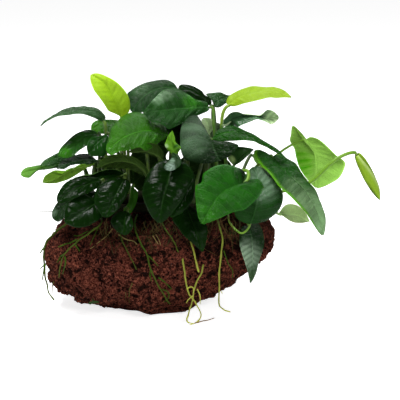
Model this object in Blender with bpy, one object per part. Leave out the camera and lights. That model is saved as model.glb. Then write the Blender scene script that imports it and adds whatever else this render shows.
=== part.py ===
# An anubias plant grown on a lump of red-brown lava stone.
# Metres, +Z up. The origin is the middle of the flat patch that the stone rests on,
# +X runs along the stone to the right and -Y is the side seen from the front.

import math

import bmesh
import bpy
from mathutils import Vector, noise
from mathutils.bvhtree import BVHTree

MM = 0.001
GAP = 0.35

# Heights up the stone, each with how far it reaches left, right, front and back, in millimetres.
STONE_LEVELS = [
    (0, -26, 24, -24, 28),
    (2, -38, 27, -28, 33),
    (5, -50, 31, -32, 38),
    (9, -61, 37, -37, 42),
    (14, -69, 43, -42, 46),
    (20, -74, 50, -45, 49),
    (27, -75, 58, -47, 51),
    (33, -76, 67, -49, 53),
    (38, -76, 74, -50, 54),
    (44, -75, 77, -50, 55),
    (50, -70, 76, -48, 54),
    (56, -64, 73, -44, 50),
    (61, -53, 65, -37, 44),
    (65, -36, 54, -27, 33),
    (68, -18, 34, -13, 18),
]
STONE_SIDES = 44
STONE_SQUARENESS = 2.5
LUMP_SIZE = 17.0
LUMP_HEIGHT = 3.2
GRIT_SIZE = 7.0
GRIT_HEIGHT = 1.1

# Hollows in the stone: where each one lies, how wide it is and how deep it goes.
HOLLOWS = [
    ((46, -46, 40), 14, 9),
    ((28, -50, 20), 10, 5),
    ((-12, -50, 46), 9, 5),
    ((-44, -44, 28), 9, 4),
    ((-60, -26, 44), 9, 4),
    ((-25, -46, 14), 8, 4),
    ((4, -50, 32), 8, 4),
    ((66, -20, 48), 10, 5),
    ((60, 30, 40), 12, 6),
    ((10, 55, 42), 12, 6),
    ((-38, 50, 34), 11, 5),
    ((-66, 24, 38), 10, 5),
    ((20, 48, 16), 9, 4),
]

# The creeping stem seen from above, as its middle line, and the branch that forks off it.
STEM_RADIUS = 3.8
STEM_LINE = [(-50, 4), (-38, 8), (-24, 3), (-10, 6), (6, 0), (20, 4), (34, -2), (46, 2), (54, 0)]
BRANCH_RADIUS = 3.2
BRANCH_LINE = [(-47, -14), (-36, -20), (-22, -19), (-8, -22), (6, -21), (20, -22), (34, -18), (45, -10)]

# Each root: its radius and the points it passes. Where it would touch the stone it lies on it.
ROOTS = [
    ("root_left_side", 0.6, [(-52, -22, 66), (-63, -17, 58), (-71, -12, 50), (-76, -12, 43), (-77, -12, 32),
                             (-76, -12, 20), (-74, -14, 12), (-70, -20, 8)]),
    ("root_left_front", 0.7, [(-38, -28, 68), (-36, -40, 65), (-43, -43, 60), (-53, -40, 52), (-59, -36, 45),
                              (-62, -32, 37), (-65, -30, 27)]),
    ("root_middle_left", 0.6, [(-25, -27, 68), (-24, -42, 62), (-23, -47, 56), (-19, -49, 48), (-16, -49, 42),
                               (-14, -49, 37)]),
    ("root_middle", 0.8, [(-14, -29, 68), (-15, -40, 63), (-13, -46, 57), (-7, -48, 47), (-5, -49, 38),
                          (-3, -48, 32), (1, -46, 27), (7, -40, 12)]),
    ("root_middle_right", 0.7, [(2, -29, 68), (3, -40, 63), (8, -46, 58), (11, -48, 53), (13, -48, 48)]),
    ("root_stub", 0.8, [(17, -29, 68), (19, -42, 61), (21, -48, 54), (23, -51, 47), (26, -54, 37)]),
    ("root_floor_left", 0.6, [(16, -50, 44), (17, -50, 35), (18, -50, 27), (20, -51, 21), (26, -51, 11),
                              (27, -53, 6), (24, -54, 3), (20, -53, 1.1)]),
    ("root_floor_right", 0.6, [(29, -48, 40), (27, -48, 33), (23, -47, 25), (22, -47, 17), (20, -46, 8),
                               (18, -47, 3), (19, -48, 1.4), (22, -49, 1)]),
    ("root_right", 0.8, [(36, -27, 68), (40, -40, 61), (41, -44, 54), (40, -48, 46), (39, -47, 33), (39, -47, 16),
                         (40, -49, 11), (46, -50, 9)]),
]
ROOT_CLEARANCE = 0.8

STALK_RADIUS = 0.95
BLADE_THICKNESS = 0.9

# How far along the blade each section lies, how wide it is there, and how far its edges sweep back.
BLADE_SECTIONS = [
    (0.02, 0.38, -0.06),
    (0.12, 0.80, -0.08),
    (0.30, 1.00, -0.02),
    (0.50, 0.95, 0.02),
    (0.70, 0.70, 0.04),
    (0.87, 0.35, 0.03),
    (0.99, 0.04, 0.00),
]
STALK_STEPS = 4

# Leaves with sides of their own: how far each section's edges sweep back or forward and how far
# they reach out, in millimetres, on one side of the midrib and then on the other.
OWN_SIDES = {
    "leaf_middle": [
        (0.4, 0.8, -2, 2.5), (1.8, 3, -8, 9.5), (4.5, 6.5, -8, 15.5), (5.8, 9.3, -5, 18.5),
        (4.5, 11.5, -0.5, 13.5), (1.3, 6.5, 0, 4.5), (0, 0.6, 0, 0.6),
    ],
    "leaf_front_heart": [
        (-2, 1.5, -1, 2), (-16, 6.5, -5.2, 16.5), (-12, 11.5, -3.7, 21), (-8.5, 10.5, -1.5, 21.4),
        (-5, 6.4, 0, 17), (-2, 3.2, 0.5, 9.5), (0, 0.6, 0, 0.6),
    ],
    "leaf_backlit_right": [
        (-0.3, 1.4, -4.9, 13.8), (-1.6, 3.7, -3.9, 14.1), (-2.2, 11, -4.8, 8.8), (-1.1, 18.2, -9, 11.6),
        (-1.3, 23.6, -7.9, 10.9), (0.8, 17, -2.9, 5.8), (0.6, 0.7, -0.2, 0.6),
    ],
}

# Colours of the leaves by age: linear red, green and blue, and the roughness.
LEAF_COLOURS = {
    "new": ((0.30, 0.50, 0.03), 0.45),
    "fresh": ((0.05, 0.18, 0.016), 0.40),
    "old": ((0.012, 0.040, 0.007), 0.32),
    "sheen": ((0.06, 0.12, 0.055), 0.30),
    "under": ((0.15, 0.31, 0.05), 0.55),
}

# Each leaf: the base, middle and tip of its blade, its width, the way its upper face looks,
# where its stalk leaves the creeping stem (line, how far along it, angle round it from the front),
# its age, and what sets its shape apart: fold and twist in degrees, heart for the lobes at its base,
# widths for a blade of its own outline, via for points that the stalk passes, thin for a blade with a
# plainer section.
LEAVES = [
    ("leaf_new_left", (-25, -2, 128), (-33, -5, 143), (-44, -1, 156), 21, (0.3, -1, 0.3),
     ("stem", 0.27, 95), "new", {"fold": 8, "heart": 1.2}),
    ("leaf_arching_left", (-37, 6, 126), (-55, 3, 131), (-79, -4, 121), 15, (-0.1, -0.25, 1),
     ("stem", 0.135, 95), "sheen", {"thin": True}),
    ("leaf_bright_left", (-22, 24, 116), (-35, 26, 119), (-48, 24, 115), 17, (0, -0.6, 1),
     ("stem", 0.29, 130), "fresh", {"thin": True}),
    ("leaf_shoulder_left", (-43, 6, 114), (-55, 0, 109), (-67, -10, 103), 24, (-0.4, -0.7, 0.7),
     ("stem", 0.10, 80), "old", {}),
    ("leaf_wet_front", (7, -12, 117), (-13, -26, 122), (-33, -38, 110), 34, (-0.1, -0.6, 0.85),
     ("branch", 0.55, 100), "fresh", {"heart": 1.2}),
    ("leaf_small_left", (-28, -6, 111), (-38, -10, 110), (-47, -14, 107), 15, (-0.2, -1, 0.6),
     ("stem", 0.29, 80), "old", {"thin": True}),
    ("leaf_far_left", (-51, 12, 102), (-67, 8, 99), (-80, 0, 95), 13, (-0.1, -0.4, 1),
     ("stem", 0.058, 110), "sheen", {"thin": True}),
    ("leaf_tip_left", (-52, 20, 97), (-74, 14, 92), (-94, 6, 89), 12, (-0.1, -0.6, 0.9),
     ("stem", 0.077, 150), "new", {"twist": 30, "thin": True}),
    ("leaf_underside_left", (-44, -4, 92), (-62, -12, 90), (-76, -20, 87), 17, (-0.2, 0.5, 0.9),
     ("stem", 0.03, 50), "under", {"thin": True}),
    ("leaf_edge_left", (-40, -1, 96), (-54, -7, 100), (-67, -14, 96), 14, (-0.1, -0.4, 1),
     ("stem", 0.175, 40), "sheen", {"thin": True}),
    ("leaf_arch_middle", (-7, -16, 92), (-22, -24, 102), (-39, -30, 99), 16, (0, 0.65, 1),
     ("branch", 0.44, 80), "under", {"thin": True}),
    ("leaf_arch_upper", (3, -20, 101), (-8, -25, 107), (-20, -28, 108), 14, (0, 0.6, 1),
     ("branch", 0.49, 75), "under", {"thin": True}),
    ("leaf_arch_lower", (-31, -9, 92), (-45, -15, 92), (-58, -21, 89), 15, (0, 0.2, 1),
     ("stem", 0.22, 60), "old", {"thin": True}),
    ("leaf_low_left", (-37, -26, 90), (-52, -35, 88), (-65, -41, 79), 19, (-0.3, -0.8, 0.7),
     ("branch", 0.13, 80), "old", {"thin": True}),
    ("leaf_glossy_left", (-51, -20, 77), (-62, -26, 74), (-65, -30, 64), 13, (-0.6, -0.7, 0.4),
     ("branch", 0.02, 60), "sheen", {"thin": True}),
    ("leaf_bottom_left", (-34, -34, 80), (-47, -44, 76), (-59, -48, 68), 21, (-0.1, -0.9, 0.6),
     ("branch", 0.16, 30), "old", {}),
    ("leaf_front_left", (-25, -38, 92), (-30, -48, 83), (-34, -54, 72), 21, (-0.1, -1, 0.4),
     ("branch", 0.24, 60), "old", {"heart": 1.0}),
    ("leaf_small_front", (-17, -34, 89), (-18, -40, 83), (-22, -44, 75), 10, (0.2, -1, 0.3),
     ("branch", 0.33, 60), "old", {"thin": True}),
    ("leaf_hanging_left", (-20, -44, 74), (-22, -52, 68), (-21, -55, 61), 13, (0, -1, 0.3),
     ("branch", 0.285, 10), "old", {"thin": True}),
    ("leaf_glossy_front", (8, -49, 98), (4, -63, 85), (2, -67, 68), 27, (-0.1, -1, 0.3),
     ("branch", 0.58, 50), "old", {"heart": 1.0, "via": [(10, -38, 100)]}),
    ("leaf_behind_front", (20, -38, 96), (15, -49, 84), (8, -54, 69), 22, (0.3, -1, 0.3),
     ("branch", 0.66, 60), "old", {}),
    ("leaf_folded_small", (8, -33, 101), (9.5, -31, 111), (10, -29, 121), 7, (-0.6, -1, 0.2),
     ("branch", 0.61, 95), "new", {"fold": 30, "thin": True}),
    ("leaf_dark_middle", (19, 2, 120), (15, -3, 116), (12, -6, 110), 13, (-0.3, -1, 0.5),
     ("stem", 0.61, 80), "old", {"thin": True}),
    ("leaf_top_left", (16, 24, 139), (-3, 18, 141), (-22, 8, 132), 28, (-0.1, -0.5, 1),
     ("stem", 0.54, 120), "sheen", {}),
    ("leaf_top_big", (33, 6, 132), (11, -7, 136), (-10, -18, 128), 33, (-0.1, -0.75, 0.7),
     ("stem", 0.77, 90), "sheen", {"heart": 1.0, "via": [(37, 2, 121)]}),
    ("leaf_top_behind", (35, 18, 133), (26, 18, 140), (14, 16, 143), 20, (0, -0.6, 0.9),
     ("stem", 0.77, 125), "old", {"thin": True}),
    ("leaf_top_small", (37, 26, 128), (41, 27, 134), (49, 27, 138), 16, (0, -0.8, 0.8),
     ("stem", 0.81, 140), "sheen", {"thin": True}),
    ("leaf_new_right", (46, 4, 134), (65, 2, 144), (87, -6, 141), 22, (0, -0.25, 1),
     ("stem", 0.865, 90), "new", {"via": [(42, 6, 124)]}),
    ("leaf_wavy_right", (42, -4, 120), (60, -4, 127), (78, -4, 128), 20, (0, 0.2, 1),
     ("stem", 0.86, 40), "old", {"twist": 50, "widths": (0.3, 0.7, 0.95, 0.85, 0.7, 0.7, 0.2)}),
    ("leaf_green_right", (34, -18, 114), (55, -24, 120), (82, -29, 105), 20, (0.2, -0.4, 1),
     ("branch", 0.83, 110), "fresh", {}),
    ("leaf_middle", (28, -27, 120), (34, -35, 114), (41, -38, 104), 30, (-0.1, -1, 0.6),
     ("branch", 0.735, 90), "sheen", {"fold": 8}),
    ("leaf_small_middle", (32, 6, 115), (31, 8, 121), (30, 10, 126), 9, (0, -1, 0.3),
     ("stem", 0.71, 70), "under", {"thin": True}),
    ("leaf_dark_right", (47, -18, 99), (53, -18, 104), (59, -17, 109), 9, (-0.3, -1, 0.4),
     ("branch", 0.885, 90), "old", {"thin": True}),
    ("leaf_big_right", (64, -24, 106), (87, -40, 92), (105, -48, 57), 28, (0.55, -0.6, 0.6),
     ("stem", 0.93, 70), "sheen", {}),
    ("leaf_hanging_middle", (18, -44, 80), (22, -54, 66), (27, -58, 51), 17, (0, -1, 0.3),
     ("branch", 0.69, 10), "old", {}),
    ("leaf_front_heart", (54, -59, 91), (40.5, -66, 81.5), (27, -71, 69), 37, (-0.05, -1, 0.4),
     ("branch", 0.91, 60), "fresh", {"via": [(45, -42, 95), (56, -50, 101)]}),
    ("leaf_grey_right", (59, -46, 66), (63, -42, 85), (57, -30, 104), 31, (0.25, -1, 0.2),
     ("branch", 0.935, 5), "sheen", {"heart": 0.8, "via": [(46, -36, 64), (53, -47, 60)]}),
    ("leaf_hanging_right", (60, -33, 66), (59, -50, 50), (59, -52, 29), 15, (0.1, -1, 0.2),
     ("branch", 0.98, 10), "sheen", {"thin": True}),
    ("leaf_backlit_right", (86.8, -1.6, 107.7), (104.4, -3.7, 102.1), (121.9, -5.7, 96.4), 32, (0.2, 0.9, 0.3),
     ("stem", 0.96, 100), "under", {"via": [(70, 4, 96)]}),
    ("leaf_pale_right", (78, -6, 63), (89, -10, 64), (99, -12, 57), 13, (0, 0.8, 0.6),
     ("stem", 1.0, 120), "under", {"thin": True, "via": [(66, -4, 69)]}),
    ("leaf_rolled_right", (129, -15, 105), (137, -13, 91), (145, -12, 74), 6, (0.7, -0.7, 0.3),
     ("stem", 1.0, 30), "new", {"thick": 4.4, "via": [(80, -13, 80), (98, -18, 88), (115, -20, 105)]}),
    ("leaf_back_left", (-30, 30, 105), (-46, 44, 108), (-62, 58, 98), 26, (-0.2, 0.5, 1),
     ("stem", 0.21, 100), "old", {"via": [(-26, 12, 102)]}),
    ("leaf_back_middle", (-6, 34, 118), (-10, 54, 118), (-12, 72, 104), 30, (0, 0.6, 1),
     ("stem", 0.40, 100), "sheen", {"via": [(-9, 14, 104)]}),
    ("leaf_back_right", (20, 36, 112), (28, 54, 112), (36, 70, 98), 28, (0, 0.6, 1),
     ("stem", 0.60, 125), "old", {}),
    ("leaf_back_far_right", (52, 22, 104), (70, 34, 104), (88, 42, 92), 24, (0.4, 0.4, 1),
     ("stem", 0.92, 140), "fresh", {"thin": True}),
    ("leaf_back_low_left", (-33, 20, 98), (-39, 30, 88), (-43, 33, 70), 26, (-0.2, 1, 0.3),
     ("stem", 0.24, 120), "old", {"thin": True}),
    ("leaf_back_low_middle", (-4, 22, 100), (-6, 32, 88), (-8, 36, 70), 30, (0, 1, 0.3),
     ("stem", 0.46, 110), "old", {"thin": True}),
    ("leaf_back_low_right", (31, 22, 99), (33, 31, 88), (35, 34, 70), 26, (0.1, 1, 0.3),
     ("stem", 0.745, 120), "old", {"thin": True}),
]


def spline(points, steps):
    """Points along a smooth curve that passes through the given ones."""
    ends = [points[0] * 2 - points[1]] + points + [points[-1] * 2 - points[-2]]
    line = []
    for a, b, c, d in zip(ends, ends[1:], ends[2:], ends[3:]):
        for i in range(steps):
            t = i / steps
            line.append(0.5 * (2 * b + (c - a) * t + (2 * a - 5 * b + 4 * c - d) * t * t
                               + (3 * b - a - 3 * c + d) * t * t * t))
    return line + [points[-1]]


def material(name, colour, roughness):
    """A plain material with one colour and one roughness."""
    made = bpy.data.materials.new(name)
    made.use_nodes = True
    shader = made.node_tree.nodes["Principled BSDF"]
    shader.inputs["Base Color"].default_value = (*colour, 1)
    shader.inputs["Roughness"].default_value = roughness
    shader.inputs["Metallic"].default_value = 0
    made.diffuse_color = (*colour, 1)
    return made


def add_mesh(name, form, look):
    """One named object from a finished bmesh, with its faces pointing out."""
    bmesh.ops.recalc_face_normals(form, faces=form.faces)
    mesh = bpy.data.meshes.new(name)
    form.to_mesh(mesh)
    form.free()
    mesh.materials.append(look)
    mesh.shade_smooth()
    thing = bpy.data.objects.new(name, mesh)
    collection.objects.link(thing)
    return thing


def level_at(height):
    """How far the stone reaches left, right, front and back at one height."""
    for low, high in zip(STONE_LEVELS, STONE_LEVELS[1:]):
        if height <= high[0]:
            share = (height - low[0]) / (high[0] - low[0])
            return [a + (b - a) * share for a, b in zip(low[1:], high[1:])]
    return list(STONE_LEVELS[-1][1:])


def stone_point(turn, height, shrink):
    """A point of the stone's smooth form, before its lumps and hollows."""
    left, right, front, back = level_at(height)
    along = math.copysign(abs(math.cos(turn)) ** (2 / STONE_SQUARENESS), math.cos(turn))
    across = math.copysign(abs(math.sin(turn)) ** (2 / STONE_SQUARENESS), math.sin(turn))
    x = (left + right) / 2 + along * (right - left) / 2 * shrink
    y = (front + back) / 2 + across * (back - front) / 2 * shrink
    return Vector((x, y, height))


def roughened(point, out):
    """The same point moved by the lumps, the grit and the hollows of the rock."""
    moved = noise.fractal(point / LUMP_SIZE, 1.0, 2.0, 3) * LUMP_HEIGHT
    moved += noise.fractal(point / GRIT_SIZE, 1.0, 2.0, 2) * GRIT_HEIGHT
    for middle, width, depth in HOLLOWS:
        near = (point - Vector(middle)).length / width
        if near < 1:
            moved -= depth * (1 - near * near) ** 2
    return point + out * moved


def build_stone():
    """A round lump with measured sides, a flat patch under it and a broken, pitted face."""
    form = bmesh.new()
    bmesh.ops.create_uvsphere(form, u_segments=STONE_SIDES, v_segments=20, radius=1)
    rings = [0, 0, 2, 5, 9, 14, 20, 26, 32, 38, 43, 48, 52, 56, 59.5, 62.5, 65, 67, 68, 68.4]
    shrinks = [0.5, 1, 1, 1, 1, 1, 1, 1, 1, 1, 1, 1, 1, 1, 1, 1, 1, 1, 0.9, 0.5]
    for vertex in form.verts:
        polar = math.acos(max(-1, min(1, -vertex.co.z))) / math.pi * 20
        row = int(round(polar))
        if row == 0:
            vertex.co = Vector((-8, 2, 0))
            continue
        if row == 20:
            vertex.co = Vector((8, 2, 68.8))
            continue
        turn = math.atan2(vertex.co.y, vertex.co.x)
        height = rings[row]
        point = stone_point(turn, height, shrinks[row])
        if height > 0:
            middle = stone_point(turn, height, 0)
            out = (point - middle).normalized() * math.cos(math.radians(height - 38))
            out.z = math.sin(math.radians((height - 38) * 2))
            point = roughened(point, out.normalized())
            point.z = max(point.z, 1.5)
        vertex.co = point
    bmesh.ops.scale(form, vec=(MM, MM, MM), verts=form.verts)
    bmesh.ops.triangulate(form, faces=form.faces)
    surface = BVHTree.FromBMesh(form)
    return add_mesh("stone", form, material("lava_stone", (0.060, 0.018, 0.012), 0.9)), surface


def top_of_stone(x, y, reach):
    """The highest point of the stone under a round spot."""
    highest = 0
    for i in range(9):
        turn = i * math.tau / 8
        spread = 0 if i == 8 else reach
        start = Vector((x + spread * math.cos(turn), y + spread * math.sin(turn), 120)) * MM
        hit = surface.ray_cast(start, Vector((0, 0, -1)))[0]
        if hit:
            highest = max(highest, hit.z / MM)
    return highest


def stem_line(plan, radius):
    """The middle line of a creeping stem that lies on the stone."""
    flat = spline([Vector((x, y, 0)) for x, y in plan], 2)
    return [Vector((p.x, p.y, top_of_stone(p.x, p.y, radius) + radius + GAP + 0.4)) for p in flat]


def add_tube(name, line, radius, look):
    """A round rod along a line, with closed ends."""
    curve = bpy.data.curves.new(name, "CURVE")
    curve.dimensions = "3D"
    curve.bevel_depth = radius * MM
    curve.bevel_resolution = 1
    curve.use_fill_caps = True
    path = curve.splines.new("POLY")
    path.points.add(len(line) - 1)
    for i, (spot, p) in enumerate(zip(path.points, line)):
        spot.co = (*(p * MM), 1)
        spot.radius = 0.7 if i in (0, len(line) - 1) else 1
    curve.materials.append(look)
    thing = bpy.data.objects.new(name, curve)
    collection.objects.link(thing)
    return thing


def build_root(name, radius, points):
    """One root, which lies on the stone where it reaches it and hangs free elsewhere."""
    line = []
    clear = radius + ROOT_CLEARANCE
    for point in spline([Vector(p) for p in points], 2):
        near, normal, _, away = surface.find_nearest(point * MM)
        inside = (point * MM - near).dot(normal) < 0
        if inside or away / MM < clear:
            point = near / MM + normal * clear
        line.append(point)
    return add_tube(name, line, radius, root_look)


def blade_middle(base, middle, tip, share):
    """A point of the midrib and its direction, on a curve through base, middle and tip."""
    bend = 2 * middle - 0.5 * (base + tip)
    point = base * (1 - share) ** 2 + bend * 2 * share * (1 - share) + tip * share ** 2
    ahead = (bend - base) * (1 - share) + (tip - bend) * share
    return point, ahead.normalized()


def stalk_line(start, out, via, base, ahead):
    """Points and directions along a leaf stalk, from the creeping stem to the blade."""
    knots = [start] + [Vector(p) for p in via] + [base]
    pulls = [out * (knots[1] - start).length * 0.9]
    for before, after in zip(knots, knots[2:]):
        pulls.append((after - before) * 0.5)
    pulls.append(ahead * (base - knots[-2]).length * 0.9)
    line = []
    pieces = len(knots) - 1
    for i in range(STALK_STEPS + 1):
        place = i / STALK_STEPS * pieces * 0.985
        k = min(int(place), pieces - 1)
        t = place - k
        a, b, p, q = knots[k], knots[k + 1], pulls[k], pulls[k + 1]
        point = (a * (2 * t ** 3 - 3 * t ** 2 + 1) + p * (t ** 3 - 2 * t ** 2 + t)
                 + b * (3 * t ** 2 - 2 * t ** 3) + q * (t ** 3 - t ** 2))
        way = (a * (6 * t ** 2 - 6 * t) + p * (3 * t ** 2 - 4 * t + 1)
               + b * (6 * t - 6 * t ** 2) + q * (3 * t ** 2 - 2 * t))
        line.append((point, way.normalized()))
    return line


def leaf_rings(name, base, middle, tip, width, face, start, out, shape):
    """The cross-sections of one leaf, from the foot of its stalk to the tip of its blade."""
    spread = (-1, 0, 1, 0) if shape.get("thin") else (-1, -0.5, 0, 0.5, 1, 0.5, 0, -0.5)
    upper = (0, 1, 0, -1) if shape.get("thin") else (0, 0.6, 1, 0.6, 0, -0.6, -1, -0.6)
    thick = shape.get("thick", BLADE_THICKNESS) / 2
    fold = math.radians(shape.get("fold", 6))
    heart = shape.get("heart", 0.6)
    length = (middle - base).length + (tip - middle).length
    rings = []
    for i, (share, wide, sweep) in enumerate(BLADE_SECTIONS):
        point, ahead = blade_middle(base, middle, tip, share)
        side = ahead.cross(face).normalized()
        turn = math.radians(shape.get("twist", 0)) * (share - 0.5) * 2
        up = side.cross(ahead)
        side, up = side * math.cos(turn) + up * math.sin(turn), up * math.cos(turn) - side * math.sin(turn)
        wide = shape["widths"][i] if "widths" in shape else wide
        half = width / 2 * wide * (1 if share > 0.05 else 0.6 + 0.4 * min(heart, 1))
        back = sweep * length * (heart if sweep < 0 else 1)
        edges = (back, half, back, half)
        if name in OWN_SIDES:
            edges = OWN_SIDES[name][i]
        ring = []
        for s, u in zip(spread, upper):
            back, half = edges[:2] if s < 0 else edges[2:]
            lift = abs(s) * half * math.sin(fold) - 0.10 * half * s * s
            ring.append(point + side * (s * half * math.cos(fold)) + up * (lift + u * thick)
                        + ahead * (back * abs(s) ** 1.5))
        rings.append(ring)
    ahead = blade_middle(base, middle, tip, 0)[1]
    side = ahead.cross(face).normalized()
    stalk = stalk_line(start, out, shape.get("via", ()), base, ahead)
    for point, way in reversed(stalk):
        side = (side - way * side.dot(way)).normalized()
        up = side.cross(way)
        ring = []
        for i in range(len(spread)):
            turn = math.tau * i / len(spread)
            ring.append(point + (up * math.sin(turn) - side * math.cos(turn)) * STALK_RADIUS)
        rings.insert(0, ring)
    return rings


def build_leaf(row):
    """One leaf, lofted as a single closed solid."""
    name, base, middle, tip, width, face, (line_name, along, angle), age, shape = row
    line, radius = lines[line_name]
    place = along * (len(line) - 1)
    k = min(int(place), len(line) - 2)
    middle_of_stem = line[k].lerp(line[k + 1], place - k)
    ahead = (line[k + 1] - line[k]).normalized()
    angle = math.radians(angle)
    out = Vector((0, -math.cos(angle), math.sin(angle)))
    out = (out - ahead * out.dot(ahead)).normalized()
    start = middle_of_stem + out * (radius + GAP)
    rings = leaf_rings(name, Vector(base), Vector(middle), Vector(tip), width, Vector(face), start, out,
                       shape)
    form = bmesh.new()
    rows = [[form.verts.new(p * MM) for p in ring] for ring in rings]
    count = len(rows[0])
    for a, b in zip(rows, rows[1:]):
        for i in range(count):
            j = (i + 1) % count
            form.faces.new((a[i], a[j], b[j], b[i]))
    form.faces.new(rows[0])
    form.faces.new(rows[-1])
    bmesh.ops.triangulate(form, faces=form.faces)
    return add_mesh(name, form, leaf_looks[age])


for old in list(bpy.data.objects):
    bpy.data.objects.remove(old, do_unlink=True)

collection = bpy.data.collections.new("anubias_on_stone")
bpy.context.scene.collection.children.link(collection)

stone, surface = build_stone()

bark = material("rhizome_skin", (0.07, 0.11, 0.02), 0.6)
lines = {
    "stem": (stem_line(STEM_LINE, STEM_RADIUS), STEM_RADIUS),
    "branch": (stem_line(BRANCH_LINE, BRANCH_RADIUS), BRANCH_RADIUS),
}
add_tube("rhizome", lines["stem"][0], STEM_RADIUS, bark)
add_tube("rhizome_branch", lines["branch"][0], BRANCH_RADIUS, bark)

leaf_looks = {
    age: material("leaf_" + age, colour, roughness)
    for age, (colour, roughness) in LEAF_COLOURS.items()
}
for row in LEAVES:
    build_leaf(row)

root_look = material("root_skin", (0.10, 0.10, 0.025), 0.6)

for name, radius, points in ROOTS:
    build_root(name, radius, points)
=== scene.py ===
# %% [markdown]
# # An anubias plant grown on lava stone
# The real thing is a small broad-leaved water plant. Its creeping stem lies on a lump of red-brown
# lava stone, holds on to it with roots, and sends up one stalk with one blade for every leaf.
# The solids of the plant are loaded first and stay as they are. Every visible surface is then made
# again as a finer mesh in the same place, because a solid of a few hundred flat faces shows neither
# the pits of the stone nor the waves and veins of a leaf.

# %% Load the solids
import math
import random

import bmesh
import bpy
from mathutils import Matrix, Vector, noise
from mathutils.bvhtree import BVHTree


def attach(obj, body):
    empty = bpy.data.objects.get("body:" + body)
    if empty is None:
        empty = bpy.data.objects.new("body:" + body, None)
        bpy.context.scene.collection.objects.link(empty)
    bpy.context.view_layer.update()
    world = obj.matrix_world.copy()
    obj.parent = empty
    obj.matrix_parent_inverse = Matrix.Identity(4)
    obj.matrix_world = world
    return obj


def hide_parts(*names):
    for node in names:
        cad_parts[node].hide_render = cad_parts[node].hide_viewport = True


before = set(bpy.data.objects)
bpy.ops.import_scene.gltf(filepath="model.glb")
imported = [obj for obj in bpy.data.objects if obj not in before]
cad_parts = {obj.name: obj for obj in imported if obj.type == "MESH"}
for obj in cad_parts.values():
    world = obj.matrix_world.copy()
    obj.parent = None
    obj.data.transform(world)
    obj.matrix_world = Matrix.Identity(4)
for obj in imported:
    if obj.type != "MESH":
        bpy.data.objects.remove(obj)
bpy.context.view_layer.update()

# Without a seed the warped noise would be new in every run, and so would the pits and the roots.
noise.seed_set(7)
print("solids loaded:", len(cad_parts))

# %% [markdown]
# ## Units and smooth lines
# All measures below are in millimetres, as a grower would give them, and are turned into metres only
# when a mesh is made. Stems, roots and stalks are long and thin, so each is described by a few points.
# A Catmull-Rom spline is the easiest curve through given points. The outline of a leaf needs a curve
# that never swings past its values, so it gets a monotone one.

# %% Units and curves
MM = 0.001


def spline(points, steps):
    """Points along a smooth curve that passes through the given ones."""
    ends = [points[0] * 2 - points[1]] + points + [points[-1] * 2 - points[-2]]
    line = []
    for a, b, c, d in zip(ends, ends[1:], ends[2:], ends[3:]):
        for i in range(steps):
            t = i / steps
            line.append(0.5 * (2 * b + (c - a) * t + (2 * a - 5 * b + 4 * c - d) * t * t
                               + (3 * b - a - 3 * c + d) * t * t * t))
    return line + [points[-1]]


def hermite(a, b, leave, arrive, t):
    """The curve from a to b that leaves and arrives with the given pulls."""
    return (a * (2 * t ** 3 - 3 * t ** 2 + 1) + leave * (t ** 3 - 2 * t ** 2 + t)
            + b * (3 * t ** 2 - 2 * t ** 3) + arrive * (t ** 3 - t ** 2))


def monotone(knots, values, at):
    """A smooth value between knots that never swings past the given values."""
    rises = [(v - u) / (q - p) for p, q, u, v in zip(knots, knots[1:], values, values[1:])]
    slopes = [rises[0]]
    for before, after in zip(rises, rises[1:]):
        slopes.append(0 if before * after <= 0 else 2 * before * after / (before + after))
    slopes.append(rises[-1])
    k = 0
    while k < len(knots) - 2 and at > knots[k + 1]:
        k += 1
    gap = knots[k + 1] - knots[k]
    t = min(max((at - knots[k]) / gap, 0), 1)
    return hermite(values[k], values[k + 1], slopes[k] * gap, slopes[k + 1] * gap, t)


def ease(low, high, at):
    """0 below low, 1 above high and a soft step between."""
    t = min(max((at - low) / (high - low), 0), 1)
    return t * t * (3 - 2 * t)


def band(start, full, leave, end, at):
    """1 from full to leave, 0 outside start and end, with soft steps."""
    return ease(start, full, at) * (1 - ease(leave, end, at))


def bell(away, reach):
    """1 in the middle and almost nothing at twice the reach."""
    return math.exp(-(away / reach) ** 2)


def blend(first, second, share):
    """Mixes two rows of numbers, such as two colours."""
    return [a + (b - a) * share for a, b in zip(first, second)]


def smoothed(row, times):
    """Evens out numbers or points and keeps the two ends."""
    for _ in range(times):
        row = [row[0]] + [(a + b * 2 + c) / 4 for a, b, c in zip(row, row[1:], row[2:])] + [row[-1]]
    return row


def even_line(points, count):
    """A smooth line through points, cut into even steps."""
    fine = spline([Vector(p) for p in points], 8)
    runs = [0]
    for a, b in zip(fine, fine[1:]):
        runs.append(runs[-1] + (b - a).length)
    line = []
    k = 0
    for i in range(count + 1):
        goal = runs[-1] * i / count
        while k < len(runs) - 2 and runs[k + 1] < goal:
            k += 1
        line.append(fine[k].lerp(fine[k + 1], (goal - runs[k]) / max(runs[k + 1] - runs[k], 1e-6)))
    return line


def point_on(line, share):
    """The point at a share of the way along a line."""
    place = share * (len(line) - 1)
    k = min(int(place), len(line) - 2)
    return line[k].lerp(line[k + 1], place - k)


print("curves ready")

# %% [markdown]
# ## The view that the leaves are traced from
# No two leaves have the same outline, so the blades that face the viewer are traced, as one traces over
# a reference picture. The tracing sheet stands upright through the aim of the camera. A traced point is
# given in millimetres on that sheet, x to the right of the aim and z above it, and the sightline from
# the eye through it finds the same point of the leaf at any depth.

# %% Camera place and sightlines
CAMERA_AIM = Vector((26.7, 0, 71.6))
CAMERA_TILT = math.radians(12)
CAMERA_DISTANCE = 900
CAMERA_BACK = Vector((0, -math.cos(CAMERA_TILT), math.sin(CAMERA_TILT)))
SHEET_UP = Vector((0, math.sin(CAMERA_TILT), math.cos(CAMERA_TILT)))
EYE = CAMERA_AIM + CAMERA_BACK * CAMERA_DISTANCE


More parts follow.
